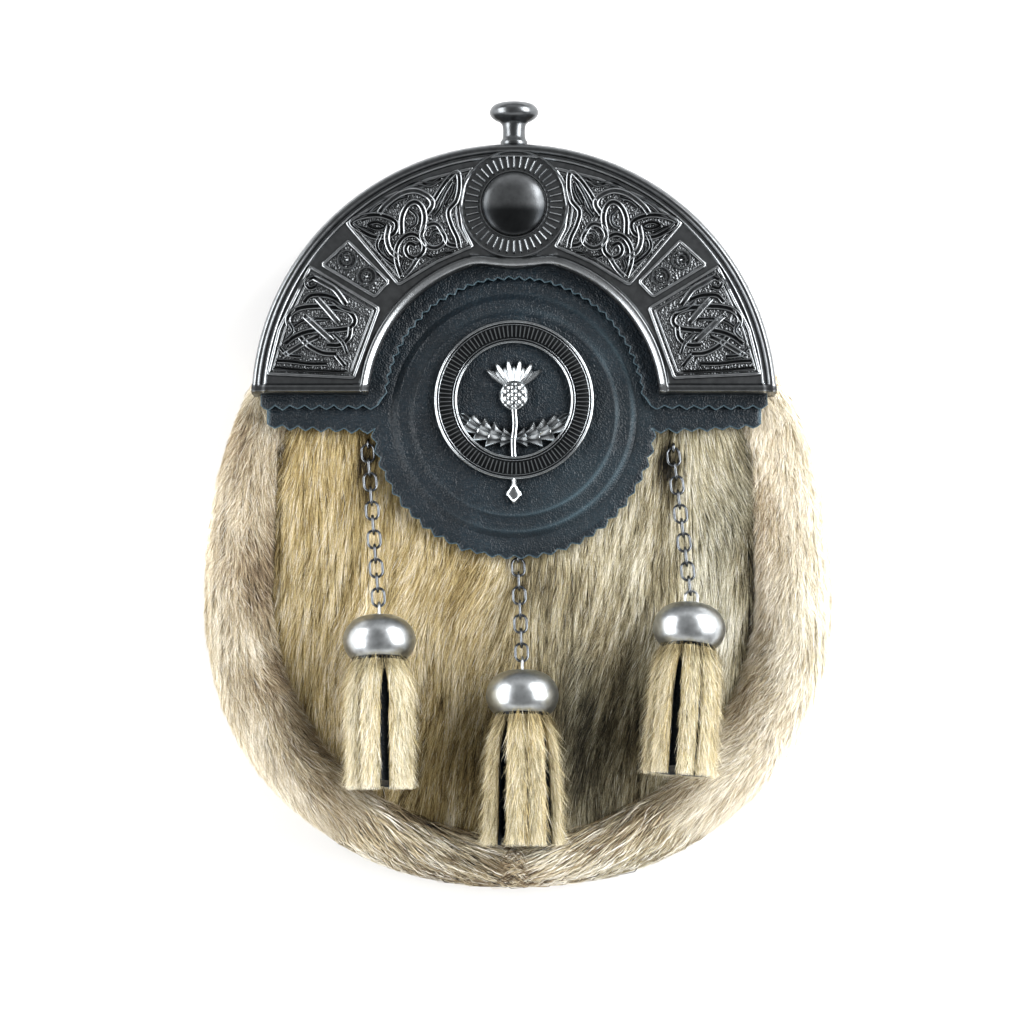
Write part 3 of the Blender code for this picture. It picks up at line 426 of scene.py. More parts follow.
def add_node(
    tree: Tree,
    kind: str,
    inputs: dict[str | int, Input] | None = None,
    stops: Sequence[tuple[float, str]] = (),
    **settings: object,
) -> Node:
    """Adds a node with its settings and links.

    Args:
        tree: The node tree.
        kind: The shader node's type.
        inputs: What each input socket gets.
        stops: Places and sRGB hex colours of a colour ramp.
        settings: The node's own properties.

    Returns:
        The node.
    """
    node = tree.nodes.new("ShaderNode" + kind)
    for name, value in settings.items():
        setattr(node, name, value)
    set_inputs(node, inputs or {})
    for k, (place, code) in enumerate(stops):
        spot = node.color_ramp.elements[k] if k < 2 else node.color_ramp.elements.new(place)
        spot.position, spot.color = place, linear(code)
    return node


def per(size: float) -> float:
    """The scale of a pattern whose cells are this many mm wide: how many of them a metre has."""
    return 1.0 / (size * MM)


def new_finish(name: str) -> tuple[Material, Callable[..., Node], Node]:
    """An empty finish of this name: the material, what adds a node to it, and its Principled shader."""
    made = bpy.data.materials.new(name)
    made.use_nodes = True
    return made, partial(add_node, made.node_tree), made.node_tree.nodes["Principled BSDF"]


# Hair colours from a tone of 0 to one of 1, at equal steps
TONES = (0.0, 0.2, 0.4, 0.6, 0.8, 1.0)
GOLDEN = ("#0f0c06", "#332919", "#725f39", "#b09a64", "#ddcb97", "#fbf5e6")
OLIVE = ("#0e0d0a", "#2c2a21", "#655f4b", "#9f987c", "#d2cdb6", "#f9f7ed")
MAUVE = ("#120d0a", "#382c22", "#79654f", "#ae9a79", "#dbceaf", "#fffaef")


@dataclass(frozen=True)
class FurCoat:
    """Tanned hair on the hide: tapered hairs, darker at the root, with a soft gloss along them."""

    name: str
    warm: tuple[str, ...]
    cool: tuple[str, ...] = OLIVE
    roughness: float = 0.55
    specular: float = 0.18
    root_dark: float = 0.16  # how far along its tone a hair starts below its own

    def build(self) -> Material:
        """Makes the material: tone picks a place on a warm and a cool ramp, which warmth mixes."""
        made, add, shader = new_finish(self.name)
        names = ("tone", "warmth", "along")
        tone, warmth, along = (add("Attribute", attribute_name=name) for name in names)
        fall = {"Value": along, "From Min": 0.0, "From Max": 0.75, "To Min": -self.root_dark, "To Max": 0.03}
        place = add("Math", {0: tone, 1: add("MapRange", fall)}, operation="ADD")
        ramps = (tuple(zip(TONES, colours)) for colours in (self.warm, self.cool))
        warm, cool = (add("ValToRGB", {"Fac": place}, ramp) for ramp in ramps)
        mixed = add("Mix", {0: warmth, 6: cool, 7: warm}, data_type="RGBA")
        looks = {"Base Color": mixed, "Roughness": self.roughness, "Specular IOR Level": self.specular}
        set_inputs(shader, looks)
        return made


@dataclass(frozen=True)
class SkinUnderFur:
    """The hide between the hairs: its own short undercoat, streaked down the lie of the hair."""

    name: str = "hair_on_hide"
    colours: tuple[str, str, str] = ("#3b301e", "#675636", "#8f7c55")
    across_mm: float = 0.6  # a streak's width
    along_mm: float = 9.0  # and its length

    def build(self) -> Material:
        """Makes the material: noise drawn out along the hide colours it and raises it in fine ridges."""
        made, add, shader = new_finish(self.name)
        spot = add("TexCoord")
        scale = (per(self.across_mm), per(self.along_mm), per(self.along_mm))
        stretched = add("Mapping", {"Vector": spot, "Scale": scale})
        noise = add("TexNoise", {"Vector": stretched, "Scale": 1.0, "Detail": 4.0})
        tint = add("ValToRGB", {"Fac": noise}, tuple(zip((0.25, 0.5, 0.8), self.colours)))
        ridges = add("Bump", {"Height": noise, "Distance": 0.4 * MM, "Strength": 0.8})
        set_inputs(shader, {"Base Color": tint, "Normal": ridges, "Roughness": 0.7})
        return made


@dataclass(frozen=True)
class BlackLeather:
    """Vegetable-tanned cowhide dyed blue-black: a fine closed grain, faint creases and a pale cut edge, whose
    colour is also painted on the flap as sheen.
    """

    name: str = "black_cowhide"
    colours: tuple[str, str, str] = ("#0b161c", "#16232b", "#27373f")  # from its hollows to its worn places
    fleck: str = "#0b0f14"
    # The cut edge's pale colour, which also paints the flap's sheen and highlights
    cut_edge_and_sheen: str = "#455861"
    grain_mm: float = 0.6  # a pore's width, a little coarser than the real one so that it shows
    fleck_mm: float = 0.9
    crease_mm: float = 17.0

    def build(self) -> Material:
        """Makes the material: cells make the grain, noise the creases, and the mark edge the cut edge and the
        flap's painted sheen.
        """
        made, add, shader = new_finish(self.name)
        spot = add("TexCoord")
        edge = add("Attribute", attribute_name="edge")
        pores = add("TexVoronoi", {"Vector": spot, "Scale": per(self.grain_mm)}, feature="F1")
        crease = {"Vector": spot, "Scale": per(self.crease_mm), "Detail": 5.0, "Roughness": 0.62}
        crease = add("TexNoise", crease)
        worn = add("ValToRGB", {"Fac": crease}, tuple(zip((0.36, 0.62, 0.8), self.colours)))
        speckle = add("TexNoise", {"Vector": spot, "Scale": per(self.fleck_mm), "Detail": 2.0})
        flecked = add("Mix", {0: speckle, 6: worn, 7: linear(self.fleck)}, data_type="RGBA")
        cut = add("Mix", {0: edge, 6: flecked, 7: linear(self.cut_edge_and_sheen)}, data_type="RGBA")
        grain = add("Bump", {"Height": pores, "Distance": 0.25 * MM, "Strength": 0.9})
        folds = add("Bump", {"Height": crease, "Distance": 2.2 * MM, "Strength": 0.7, "Normal": grain})
        gloss = add("MapRange", {"Value": speckle, "To Min": 0.3, "To Max": 0.56})
        looks = {"Base Color": cut, "Normal": folds, "Roughness": gloss, "Specular IOR Level": 0.22}
        set_inputs(shader, looks)
        return made


@dataclass(frozen=True)
class CastPewter:
    """Cast pewter, darkened and rubbed back: black in its hollows, bright where the relief stands up."""

    name: str
    low: str
    high: str
    roughness: tuple[float, float]  # of the dark and of the bright places
    patina_mm: float = 2.2
    stipple_mm: float = 0.7
    stipple_depth: float = 0.35
    grain_mm: float = 0.3

    def build(self) -> Material:
        """Makes the material: the mark shine mixes its two colours, and the mark stipple its punches. Shine is
        mostly the casting's rubbed polish; on the boss it is a painted reflection, and along the cantle's rims
        partly a painted highlight.
        """
        made, add, shader = new_finish(self.name)
        spot = add("TexCoord")
        shine, stipple = (add("Attribute", attribute_name=name) for name in ("shine", "stipple"))
        patina = add("TexNoise", {"Vector": spot, "Scale": per(self.patina_mm), "Detail": 5.0})
        rubbed = {"Value": patina, "From Min": 0.3, "From Max": 0.7, "To Min": -0.22, "To Max": 0.16}
        shares = {0: shine, 1: add("MapRange", rubbed), 2: shine}
        place = add("Math", shares, operation="MULTIPLY_ADD", use_clamp=True)
        punches = add("TexVoronoi", {"Vector": spot, "Scale": per(self.stipple_mm)}, feature="F1")
        punched = add("Math", {0: punches, 1: stipple}, operation="MULTIPLY")
        dotted = add("Math", {0: punched, 1: 0.26, 2: place}, operation="MULTIPLY_ADD")
        tint = add("ValToRGB", {"Fac": dotted}, ((0.0, self.low), (1.0, self.high)))
        fine = add("TexNoise", {"Vector": spot, "Scale": per(self.grain_mm), "Detail": 2.0})
        cast = add("Bump", {"Height": fine, "Distance": 0.03 * MM, "Strength": 0.5})
        dents = {"Height": punched, "Distance": self.stipple_depth * MM, "Strength": 0.9, "Normal": cast}
        dents = add("Bump", dents)
        gloss = add("MapRange", {"Value": place, "To Min": self.roughness[0], "To Max": self.roughness[1]})
        set_inputs(shader, {"Base Color": tint, "Roughness": gloss, "Normal": dents, "Metallic": 1.0})
        return made


class Slot(Enum):
    """The record's material slots."""

    FUR = "fur"
    LEATHER = "black_leather"
    ANTIQUE = "antique_pewter"
    SATIN = "satin_pewter"
    BRIGHT = "bright_pewter"


def once(finish: FurCoat | SkinUnderFur | BlackLeather | CastPewter) -> Material:
    """A field that makes the finish's material when its owner is made."""
    return field(default_factory=finish.build)


@dataclass
class Finishes:
    """One material of each kind, made once."""

    fur: Material = once(FurCoat("short_calf_hair", GOLDEN))
    long_fur: Material = once(FurCoat("long_goat_hair", MAUVE))
    skin: Material = once(SkinUnderFur())
    leather: Material = once(BlackLeather())
    antique: Material = once(CastPewter("antiqued_cast_pewter", "#131517", "#c2c6c9", (0.3, 0.26)))
    satin: Material = once(CastPewter("bead_blasted_pewter", "#26292b", "#b9bdbf", (0.3, 0.33)))
    bright: Material = once(CastPewter("polished_cast_pewter", "#0e1113", "#b2b7ba", (0.36, 0.2)))
    wire: Material = once(CastPewter("nickel_plated_wire", "#1d1f22", "#777b7f", (0.3, 0.22)))


def new_object(name: str, data: bpy.types.ID) -> bpy.types.Object:
    """A new object in the scene for this mesh, lamp or camera."""
    obj = bpy.data.objects.new(name, data)
    bpy.context.scene.collection.objects.link(obj)
    return obj


def make_piece(
    name: str,
    shell: Shell,
    dress: Material,
    slot: Slot,
    replaces: Sequence[str] = (),
    sharp_deg: float | None = None,
) -> bpy.types.Object:
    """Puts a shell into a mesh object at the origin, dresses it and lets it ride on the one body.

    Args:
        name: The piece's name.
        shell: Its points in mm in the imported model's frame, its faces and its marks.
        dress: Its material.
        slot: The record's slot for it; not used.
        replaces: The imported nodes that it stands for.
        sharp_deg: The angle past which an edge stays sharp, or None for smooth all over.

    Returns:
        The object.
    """
    mesh = bpy.data.meshes.new(name)
    corners = np.concatenate([shell.quads.ravel(), shell.triangles.ravel()])
    sizes = np.repeat([4, 3], [len(shell.quads), len(shell.triangles)])
    mesh.vertices.add(len(shell.points))
    mesh.vertices.foreach_set("co", (shell.points * MM).astype(np.float32).ravel())
    mesh.loops.add(len(corners))
    mesh.loops.foreach_set("vertex_index", corners.astype(np.int32))
    mesh.polygons.add(len(sizes))
    mesh.polygons.foreach_set("loop_start", (np.cumsum(sizes) - sizes).astype(np.int32))
    mesh.update(calc_edges=True)
    for mark, values in shell.marks.items():
        mesh.attributes.new(mark, "FLOAT", "POINT").data.foreach_set("value", np.asarray(values, np.float32))
    mesh.validate()
    mesh.shade_smooth()
    if sharp_deg is not None:
        mesh.set_sharp_from_angle(angle=math.radians(sharp_deg))
    obj = new_object(name, mesh)
    mesh.materials.append(dress)
    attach(obj, "root")
    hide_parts(*replaces)
    LOG.info("%s: %d triangles", name, 2 * len(shell.quads) + len(shell.triangles))
    return obj


# ---- studio


@dataclass
class Studio:
    """A pale floor under the pouch, soft boxes round it, and the camera that looks straight down."""

    lens: float = 120.0
    sensor: float = 36.0
    field: float = 327.68  # the picture's side at the front's height
    field_height: float = 27.0
    aim: Row = (-0.64, -6.51)
    floor_side: float = 6000.0
    floor_colour: str = "#e2e2e2"
    world_strength: float = 0.24
    # A row is a soft box: its place, its width and height, and its power in watts
    boxes: Table = (
        (-640, 20, 330, 960, 380, 11),
        (620, 160, 420, 900, 460, 17),
        (0, 760, 420, 900, 420, 0.8),
        (0, -760, 330, 1300, 380, 1.9),
    )

    def build(self) -> None:
        """Makes the camera, the floor, the soft boxes and the dim surroundings, and sets plain colours."""
        scene = bpy.context.scene
        scene.view_settings.view_transform = "Standard"
        self.camera()
        self.floor()
        for *place, width, height, power in self.boxes:
            self.soft_box(Vector(place), width, height, power)
        scene.world = bpy.data.worlds.new("studio")
        scene.world.use_nodes = True
        back = scene.world.node_tree.nodes["Background"]
        back.inputs["Color"].default_value = (1.0, 1.0, 1.0, 1.0)
        back.inputs["Strength"].default_value = self.world_strength

    def camera(self) -> None:
        """Hangs the camera over the pouch, so high that the field fills the picture at the front's height."""
        data = bpy.data.cameras.new("camera")
        data.lens, data.sensor_width = self.lens, self.sensor
        data.clip_start, data.clip_end = 0.05, 20.0
        camera = new_object("camera", data)
        camera.location = Vector((*self.aim, self.field_height + self.field * self.lens / self.sensor)) * MM
        bpy.context.scene.camera = camera

    def floor(self) -> None:
        """Lays the floor at z = 0."""
        corners = np.array([(-1, -1, 0), (1, -1, 0), (1, 1, 0), (-1, 1, 0)]) * (self.floor_side / 2 * MM)
        mesh = bpy.data.meshes.new("floor")
        mesh.from_pydata(corners.tolist(), [], [(0, 1, 2, 3)])
        floor = new_object("floor", mesh)
        made, _, shader = new_finish("white_paper")
        set_inputs(shader, {"Base Color": linear(self.floor_colour), "Roughness": 0.9})
        mesh.materials.append(made)

    def soft_box(self, place: Vector, width: float, height: float, power: float) -> None:
        """Hangs one soft box that faces the pouch.

        Args:
            place: Where it hangs.
            width, height: Its size.
            power: Its light in watts.
        """
        data = bpy.data.lights.new("soft_box", "AREA")
        data.shape, data.size, data.size_y, data.energy = "RECTANGLE", width * MM, height * MM, power
        lamp = new_object("soft_box", data)
        lamp.location = place * MM
        lamp.rotation_mode = "QUATERNION"
        lamp.rotation_quaternion = place.to_track_quat("Z", "Y")


# ---- fur


@dataclass(frozen=True)
class Patch:
    """A patch of the coat with its own tone and warmth, fading out over its reach. Some patches are the hair's
    own colour, and some are painted shade.
    """

    across: float
    up: float
    reach: tuple[float, float]
    tone: float
    warmth: float = 0.0


def patched(across: Points, up: Points, patches: Sequence[Patch]) -> tuple[Points, Points]:
    """Adds up patches: each fades as the exponential of minus its squared distance over its reach.

    Args:
        across, up: Where each hair stands.
        patches: The patches.

    Returns:
        The change of tone and of warmth.
    """
    tone, warmth = np.zeros_like(across), np.zeros_like(across)
    for patch in patches:
        away = ((across - patch.across) / patch.reach[0]) ** 2 + ((up - patch.up) / patch.reach[1]) ** 2
        tone += patch.tone * np.exp(-away)
        warmth += patch.warmth * np.exp(-away)
    return tone, warmth


def hairs(course: Points, side: Points, width: Points, tone: Points, warmth: Points) -> Shell:
    """Flat tapered hairs: two points either side of each level but the last, and one at the tip.

    Args:
        course: The hairs' centre lines in mm, hairs by 2 levels if straight or 3 if bent, by 3.
        side: The way across each hair.
        width: Each hair's full width.
        tone: Each hair's tone, from 0, black, to 1, white.
        warmth: From 0, grey, to 1, tan.

    Returns:
        One shell of open hairs: a triangle each, under a quad if bent.
    """
    count, levels = course.shape[:2]
    share = np.array([0.8, 1.0] if levels == 3 else [1.0])
    offset = side[:, None] * (width[:, None] * share)[..., None] / 2
    pairs = np.stack([course[:, :-1] - offset, course[:, :-1] + offset], 2).reshape(count, -1, 3)
    points = np.concatenate([pairs, course[:, -1:]], 1).reshape(-1, 3)
    points[:, 2] = np.maximum(points[:, 2], FLOOR_GAP)
    each = 2 * levels - 1
    base = each * np.arange(count)[:, None]
    along = np.tile(np.repeat(np.linspace(0.0, 1.0, levels), 2)[:-1], count)
    marks = {"tone": np.repeat(tone, each), "warmth": np.repeat(warmth, each), "along": along}
    quads = base[: count * (levels - 2)] + [0, 1, 3, 2]
    return Shell(points, quads, base + [each - 3, each - 2, each - 1], marks)


@dataclass
class FrontHide:
    """The pouch's fur front: a thin hide and the short coat on it, which runs down and overlaps the seam."""

    seam: Oval = SEAM
    hide: float = 3.0
    middle: Row = (0, -20)
    arms_up: float = 41.0  # where the outline leaves the seam for its arc under the cantle
    top_radius: float = 82.6
    top_up: float = 28.2
    # The hide's rows: how far out they lie and how low
    shares: Row = (1, 0.985, 0.93, 0.7, 0.4, 0.1)
    falls: Row = (-0.9, -0.3, 0, 0, 0, 0)
    flap_up: float = 25.3
    flap_hides: float = 37.0  # the radius that the flap covers
    hair_count: int = 125000  # in each half
    hair_length: Row = (7, 14)
    hair_width: Row = (0.14, 0.34)
    lock_mm: Row = (2.6, 7)
    lock_pull: Row = (0.42, 0.2)
    pile: float = 2.4
    # Of these patches, the dark ones at (-27, -84), (28, -68) and (4, -80), low among the tassels, are painted
    # shade together with darker hair; the one at (0, -22), just below the flap, is a painted shadow; those at
    # both chain staples are painted shade where the fur parts.
    patches: tuple[Patch, ...] = (
        Patch(-27, -84, (17, 19), -0.22, -0.1),
        Patch(-18.5, -95, (2.6, 8), 0.36, -0.2),
        Patch(28, -68, (19, 30), -0.34, -0.2),
        Patch(4, -80, (20, 24), -0.24),
        Patch(30, -38, (12, 12), 0, 0.16),
        Patch(68, 2, (5, 22), -0.26, -0.2),
        Patch(64, -30, (10, 30), 0.12, -0.35),
        Patch(-64, -52, (12, 18), 0.02, 0.1),
        Patch(0, -22, (26, 7), -0.14),
        Patch(-46.8, 17.5, (2.8, 9), -0.75),
        Patch(50.5, 17, (2.8, 9), -0.75),
    )

    def outline(self) -> Points:
        """The hide's outline: the seam's line drawn in a little, then an arc under the cantle."""
        turn = np.linspace(-math.pi / 2, self.seam.turn_at(self.arms_up), 80)
        start = math.degrees(math.asin((self.arms_up - self.top_up) / self.top_radius))
        top = arc((0.0, self.top_up), self.top_radius, start, 90.0, 30)
        half = np.concatenate([np.stack(self.seam.at(turn, inset=0.5), -1), top])
        return evenly(np.concatenate([half, (half * [-1.0, 1.0])[::-1][1:-1]]), 2.0, closed=True)

    def skin(self) -> Shell:
        """The hide: the outline drawn in to its middle row by row, over and under, with a rounded edge."""
        outline, middle = self.outline(), np.array(self.middle)
        over = drawn_in(outline, middle, self.shares, self.falls)[::-1]
        return lofted(np.concatenate([over, drawn_in(outline, middle, self.shares, (-self.hide,))])).leaned()

    def lie(self, across: Points, up: Points) -> Points:
        """How hairs lean: to the left under the flap, along the seam on the right, and wavering by the tuft.

        Args:
            across, up: Where each hair stands.

        Returns:
            Each hair's lean in radians, to the right if above zero.
        """
        lean = -0.13 - 0.36 * np.exp(-(((across + 20.0) / 24.0) ** 2) - ((up + 26.0) / 17.0) ** 2)
        lean = lean + 0.42 * smooth(44.0, 68.0, across) * smooth(-50.0, 10.0, up)
        lean = lean - 0.1 * smooth(-45.0, -70.0, across) * smooth(-60.0, 0.0, up)
        return lean + 0.4 * waver(across, up, (14.0, 26.0), 3) + 0.34 * waver(across, up, (5.0, 11.0), 4)

    def coat(self, half: float, seed: int) -> Shell:
        """The hairs of one half: rooted all over what shows, led down by the lie, and drawn into locks.

        Args:
            half: -1 for the left half and 1 for the right.
            seed: Which random hairs.

        Returns:
            The hairs.
        """
        rng = np.random.default_rng(seed)
        across = half * rng.uniform(0.0, self.seam.half, 3 * self.hair_count)
        up = rng.uniform(self.seam.middle - self.seam.down, 30.0, len(across))
        shown = np.hypot(across, up - self.flap_up) > self.flap_hides
        shown &= self.seam.share(across, up, 1.0) < 1.0
        across, up = (values[shown][: self.hair_count] for values in (across, up))
        count = len(across)
        angle = self.lie(across, up) + rng.normal(0.0, 0.1, count)
        length = rng.uniform(*self.hair_length, count) * (0.75 + 0.5 * cloud(across, up, (22.0, 22.0), 5))
        flow = np.stack([np.sin(angle), -np.cos(angle)], -1)
        root = np.stack([across, up], -1)
        tip = root + flow * length[:, None]
        pull = np.array(self.lock_pull) * rng.uniform(0.3, 1.0, (count, 1))
        tip = tip + (lock_middles(tip, self.lock_mm, 12) - tip) * pull
        layer = rng.beta(1.6, 1.3, count) * self.pile
        course = leaned(with_out(np.stack([root, tip], 1), layer[:, None] * [-0.25, 0.95] + 0.2))
        roll = rng.normal(0.0, 0.42, count)
        side = np.stack([-flow[:, 1] * np.cos(roll), flow[:, 0] * np.cos(roll), np.sin(roll)], -1)
        width = rng.uniform(*self.hair_width, count)
        tone, warmth = self.colour(across, up, rng)
        # Painted shade within the pile: hairs that lie lower are darker.
        tone = tone + 0.16 * (layer / self.pile - 0.5)
        return hairs(course, unit(side), width, np.clip(tone, 0.02, 0.99), np.clip(warmth, 0.0, 1.0))

    def colour(self, across: Points, up: Points, rng: Random) -> tuple[Points, Points]:
        """Tan on the left and beige-grey on the right, with broad patches, streaks and stray hairs, and
        painted shade along the seam and in some patches.

        Args:
            across, up: Where each hair stands.
            rng: What draws the stray hairs.

        Returns:
            Each hair's tone and warmth.
        """
        tone, warmth = patched(across, up, self.patches)
        slid = across - 0.25 * up
        tone = tone + 0.59 + 0.28 * waver(slid, up, (2.2, 20.0), 6) + 0.46 * waver(slid, up, (0.75, 10.0), 7)
        tone = tone + rng.normal(0.0, 0.165, len(across))
        # Painted shade where the hide meets the roll: darker over the last 7 mm to the seam, and darker in
        # patches (shadow) over the last 3 mm.
        seam = self.seam.half * (1.0 - self.seam.share(across, up))
        shadow = cloud(across, up, (3.0, 8.0), 9) * (1.0 - smooth(0.6, 2.8, seam))
        tone = tone - 0.24 * (1.0 - smooth(0.0, 7.0, seam)) - 0.7 * shadow
        stray = rng.random(len(across))
        tone = tone + np.where(stray > 0.97, 0.2, 0.0) - np.where(stray < 0.05, 0.22, 0.0)
        right = smooth(-22.0, 24.0, across)
        return tone, warmth + 1.0 - 0.75 * right + 0.3 * waver(across, up, (8.0, 30.0), 8)

    def build(self, finishes: Finishes) -> None:
        """Makes the hide and its coat."""
        make_piece("front_skin", self.skin(), finishes.skin, Slot.FUR, ["front_hide"])
        for name, half, seed in (("left", -1.0, 11), ("right", 1.0, 13)):
            make_piece(f"front_coat_{name}", self.coat(half, seed), finishes.fur, Slot.FUR)


@dataclass
class FurRoll:
    """The long-haired roll from the seam out to the rim, in the solid's own stations and section."""

    seam: Oval = SEAM
    rim: Oval = RIM
    fuller: Row = (1.6, 4.2)  # how much further the left and right rims stand out
    top_up: float = 40.0
    puff: Row = (7.5, -0.6)  # how high it stands over the hide, full and tucked under the cantle
    tuck_from: float = -22.0
    tuck_over: float = 40.0
    wall: float = 3.0
    fill: float = 0.8  # how tightly the roll is stuffed
    hair_count: int = 44000  # in the lower length, of bent hairs
    short_count: int = 125000  # in each side's length, of straight ones
    hair_length: Row = (7, 17)
    hair_width: Row = (0.13, 0.34)
    pile: float = 3.2
    lock_mm: float = 3.0
    patches: tuple[Patch, ...] = (
        Patch(-84, -24, (8, 13), -0.15, 0.3),
        Patch(-88, 22, (6, 9), -0.12, 0.3),
        Patch(-80, -56, (8, 9), -0.08, 0.2),
        Patch(0, -120, (32, 8), -0.07, 0.5),
        Patch(80, -8, (4, 22), -0.04, 0.3),
    )
    # A row of the section: its share of the width, of the puff and of the hide's height, and its rise
    section: Table = (
        (0, 0, 1, -1.2), (0.12, 0.50, 1, 0), (0.34, 0.92, 1, 0), (0.60, 1, 0.99, 0), (0.86, 0.60, 0.90, 0),
        (1, 0.10, 0.58, 0), (0.96, 0, 0.24, 0), (0.76, 0, 0, 0), (0.30, 0, 0, 0), (0.10, 0, 0, 2.4),
        (0.01, 0, 0, 8.55),
    )

    def surface(self, share: Points, row: Points) -> Points:
        """The roll's outside: its section, a cubic through the rows, laid between the seam and the rim.

        Args:
            share: From 0 at its left end, round the bottom, to 1 at its right end.
            row: From 0, the seam, past 5, the rim, to 10, the back.

        Returns:
            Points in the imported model's frame.
        """
        down = 1.0 - np.abs(2.0 * share - 1.0)
        side = np.where(share < 0.5, -1.0, 1.0)
        fuller = np.where(side > 0, self.fuller[1], self.fuller[0])
        seam_turn, rim_turn = (
            line.turn_at(self.top_up) * (1 - down) - math.pi / 2 * down for line in (self.seam, self.rim)
        )
        (seam_x, seam_y), (rim_x, rim_y) = self.seam.at(seam_turn), self.rim.at(rim_turn, fuller=fuller)
        table, last = np.array(self.section), len(self.section) - 1
        low = np.clip(np.floor(row).astype(int), 0, last - 1)
        corners = (table[k] for k in (np.maximum(low - 1, 0), low, low + 1, np.minimum(low + 2, last)))
        width, puff, height, rise = np.moveaxis(cubic(*corners, (row - low)[..., None]), -1, 0)
        across, up = seam_x + (rim_x - seam_x) * width, seam_y + (rim_y - seam_y) * width
        full, tucked = self.puff
        roll = full + (tucked - full) * smooth(0.0, 1.0, (up - self.tuck_from) / self.tuck_over)
        hide = FRONT_HEIGHT - math.tan(FRONT_LEAN) * up
        over = np.maximum(height, 0) * hide + puff * roll + rise
        return np.stack([side * across, up + CENTRE_SHIFT, over], -1)

    def normals(self, share: Points, row: Points) -> Points:
        """The way out of the roll: the cross product of its slopes along the row and round the roll.

        Args:
            share, row: Where round the roll and across it.

        Returns:
            Vectors of length 1.
        """
        share, row = np.clip(share, 0.002, 0.998), np.clip(row, 0.02, 9.98)
        round_way = self.surface(share + 0.002, row) - self.surface(share - 0.002, row)
        return unit(np.cross(self.surface(share, row + 0.02) - self.surface(share, row - 0.02), round_way))

    def skin(self) -> Shell:
        """The roll's hide: its outside, and the same drawn in by its wall, closed at its edges and ends."""
        share, row = np.meshgrid(np.linspace(0.0, 1.0, 111), np.linspace(0.0, 10.0, 36), indexing="ij")
        ground = [-np.inf, -np.inf, 0.0]
        outside, normal = np.maximum(self.surface(share, row), ground), self.normals(share, row)
        rows = np.concatenate([outside - normal * 0.4, (outside - normal * self.wall)[:, ::-1]], axis=1)
        return lofted(np.maximum(rows, ground))

    def coat(self, start: float, end: float, seed: int) -> Shell:
        """The hairs of one length of the roll, which run to the bottom middle and lean out across the roll.

        Args:
            start, end: The shares round the roll where it starts and ends.
            seed: Which random hairs.

        Returns:
            The hairs.
        """
        rng = np.random.default_rng(seed)
        straight = start == 0.0 or end == 1.0
        wanted = self.short_count if straight else self.hair_count
        share, row = rng.uniform(start, end, 4 * wanted), rng.uniform(0.05, 6.9, 4 * wanted)
        step = 0.004
        round_way = self.surface(share + step, row) - self.surface(share - step, row)
        across_way = self.surface(share, row + 0.05) - self.surface(share, np.maximum(row - 0.05, 0.0))
        area = np.linalg.norm(np.cross(round_way, across_way), axis=1)
        kept = rng.random(4 * wanted) < area / np.quantile(area, 0.97)
        kept &= self.surface(share, row)[:, 2] > 2.0
        share, row, round_way, across_way = (v[kept][:wanted] for v in (share, row, round_way, across_way))
        count = len(share)
        root, normal = self.surface(share, row), self.normals(share, row)
        down, sign = 1.0 - np.abs(2.0 * share - 1.0), np.where(share < 0.5, 1.0, -1.0)
        along = unit(round_way) * sign[:, None]
        outward = unit(np.cross(normal, along)) * sign[:, None]
        outward = outward * np.sign(np.sum(outward * across_way, -1, keepdims=True))

        # How each hair lies: its angle from the way round, wavering less where it is combed at the bottom
        x, y = root[:, 0], root[:, 1]
        tufts = waver(x, y, (3.4, 5.0), seed + 2, 300.0)
        combed = smooth(0.5, 0.78, down)
        loose = 1.0 - 0.8 * combed
        meeting = smooth(0.88, 1.0, down) * np.where(share < 0.5, 0.3, 0.85)
        angle = -0.12 * (1.0 - meeting) + 0.54 * smooth(0.45, 0.8, down) * (1.0 - meeting)
        angle = angle + loose * (0.7 * waver(x, y, (15.0, 22.0), seed + 1, 300.0) + 0.9 * tufts)
        angle = angle + rng.normal(0.0, 0.06 + 0.17 * loose, count)
        angle = angle - 0.9 * (1.0 - smooth(0.1, 1.3, row)) * (tufts + 0.35) * loose
        length = rng.uniform(*self.hair_length, count) * (0.85 + 0.95 * combed) * (0.72 if straight else 1.0)
        length = length * (1.0 - 0.35 * smooth(4.2, 6.0, row))
        turn = around(angle)[:, None]
        flow = unit(along * turn[:, 0, :1] + outward * turn[:, 0, 1:])

        # The hair walks over the surface, held back from the seam, from past the rim and from the middle
        t = np.array([0.0, 0.5, 1.0])
        walked = length[:, None] * t
        round_pace, across_pace = (np.linalg.norm(way, axis=1)[:, None] for way in (round_way, across_way))
        share_t = share[:, None] + sign[:, None] * turn[..., 0] * walked * 2 * step / round_pace
        row_t = row[:, None] + turn[..., 1] * walked * 0.1 / across_pace
        over = np.maximum(row_t - 5.2, 0.0) * (row[:, None] < 5.2)
        inward = np.maximum(-row_t, 0.0) * across_pace / 0.1
        inward = np.minimum(inward, 1.0 + 2.4 * smooth(-24.0, 0.0, y)[:, None])
        row_t = np.clip(row_t, 0.0, np.maximum(row[:, None] + 0.9, 5.2))
        share_t = np.clip(share_t, 0.0, 1.0)
        apart = np.where(share[:, None] < 0.5, np.minimum(share_t, 0.503), np.maximum(share_t, 0.497))
        share_t = share_t + 0.85 * (apart - share_t)
        layer = rng.beta(1.5, 1.4, count) * (self.pile - 1.9 * smooth(2.6, 5.0, row))
        lift = layer[:, None] * np.array([-0.3, 1.0, 0.85])
        course = self.surface(share_t, row_t) + self.normals(share_t, row_t) * lift[..., None]
        course = course + outward[:, None] * (np.minimum(over * 0.8, 1.0) * t)[..., None]
        course = course + ([0.0, 0.0, 0.35] - unit(across_way)[:, None]) * inward[..., None]

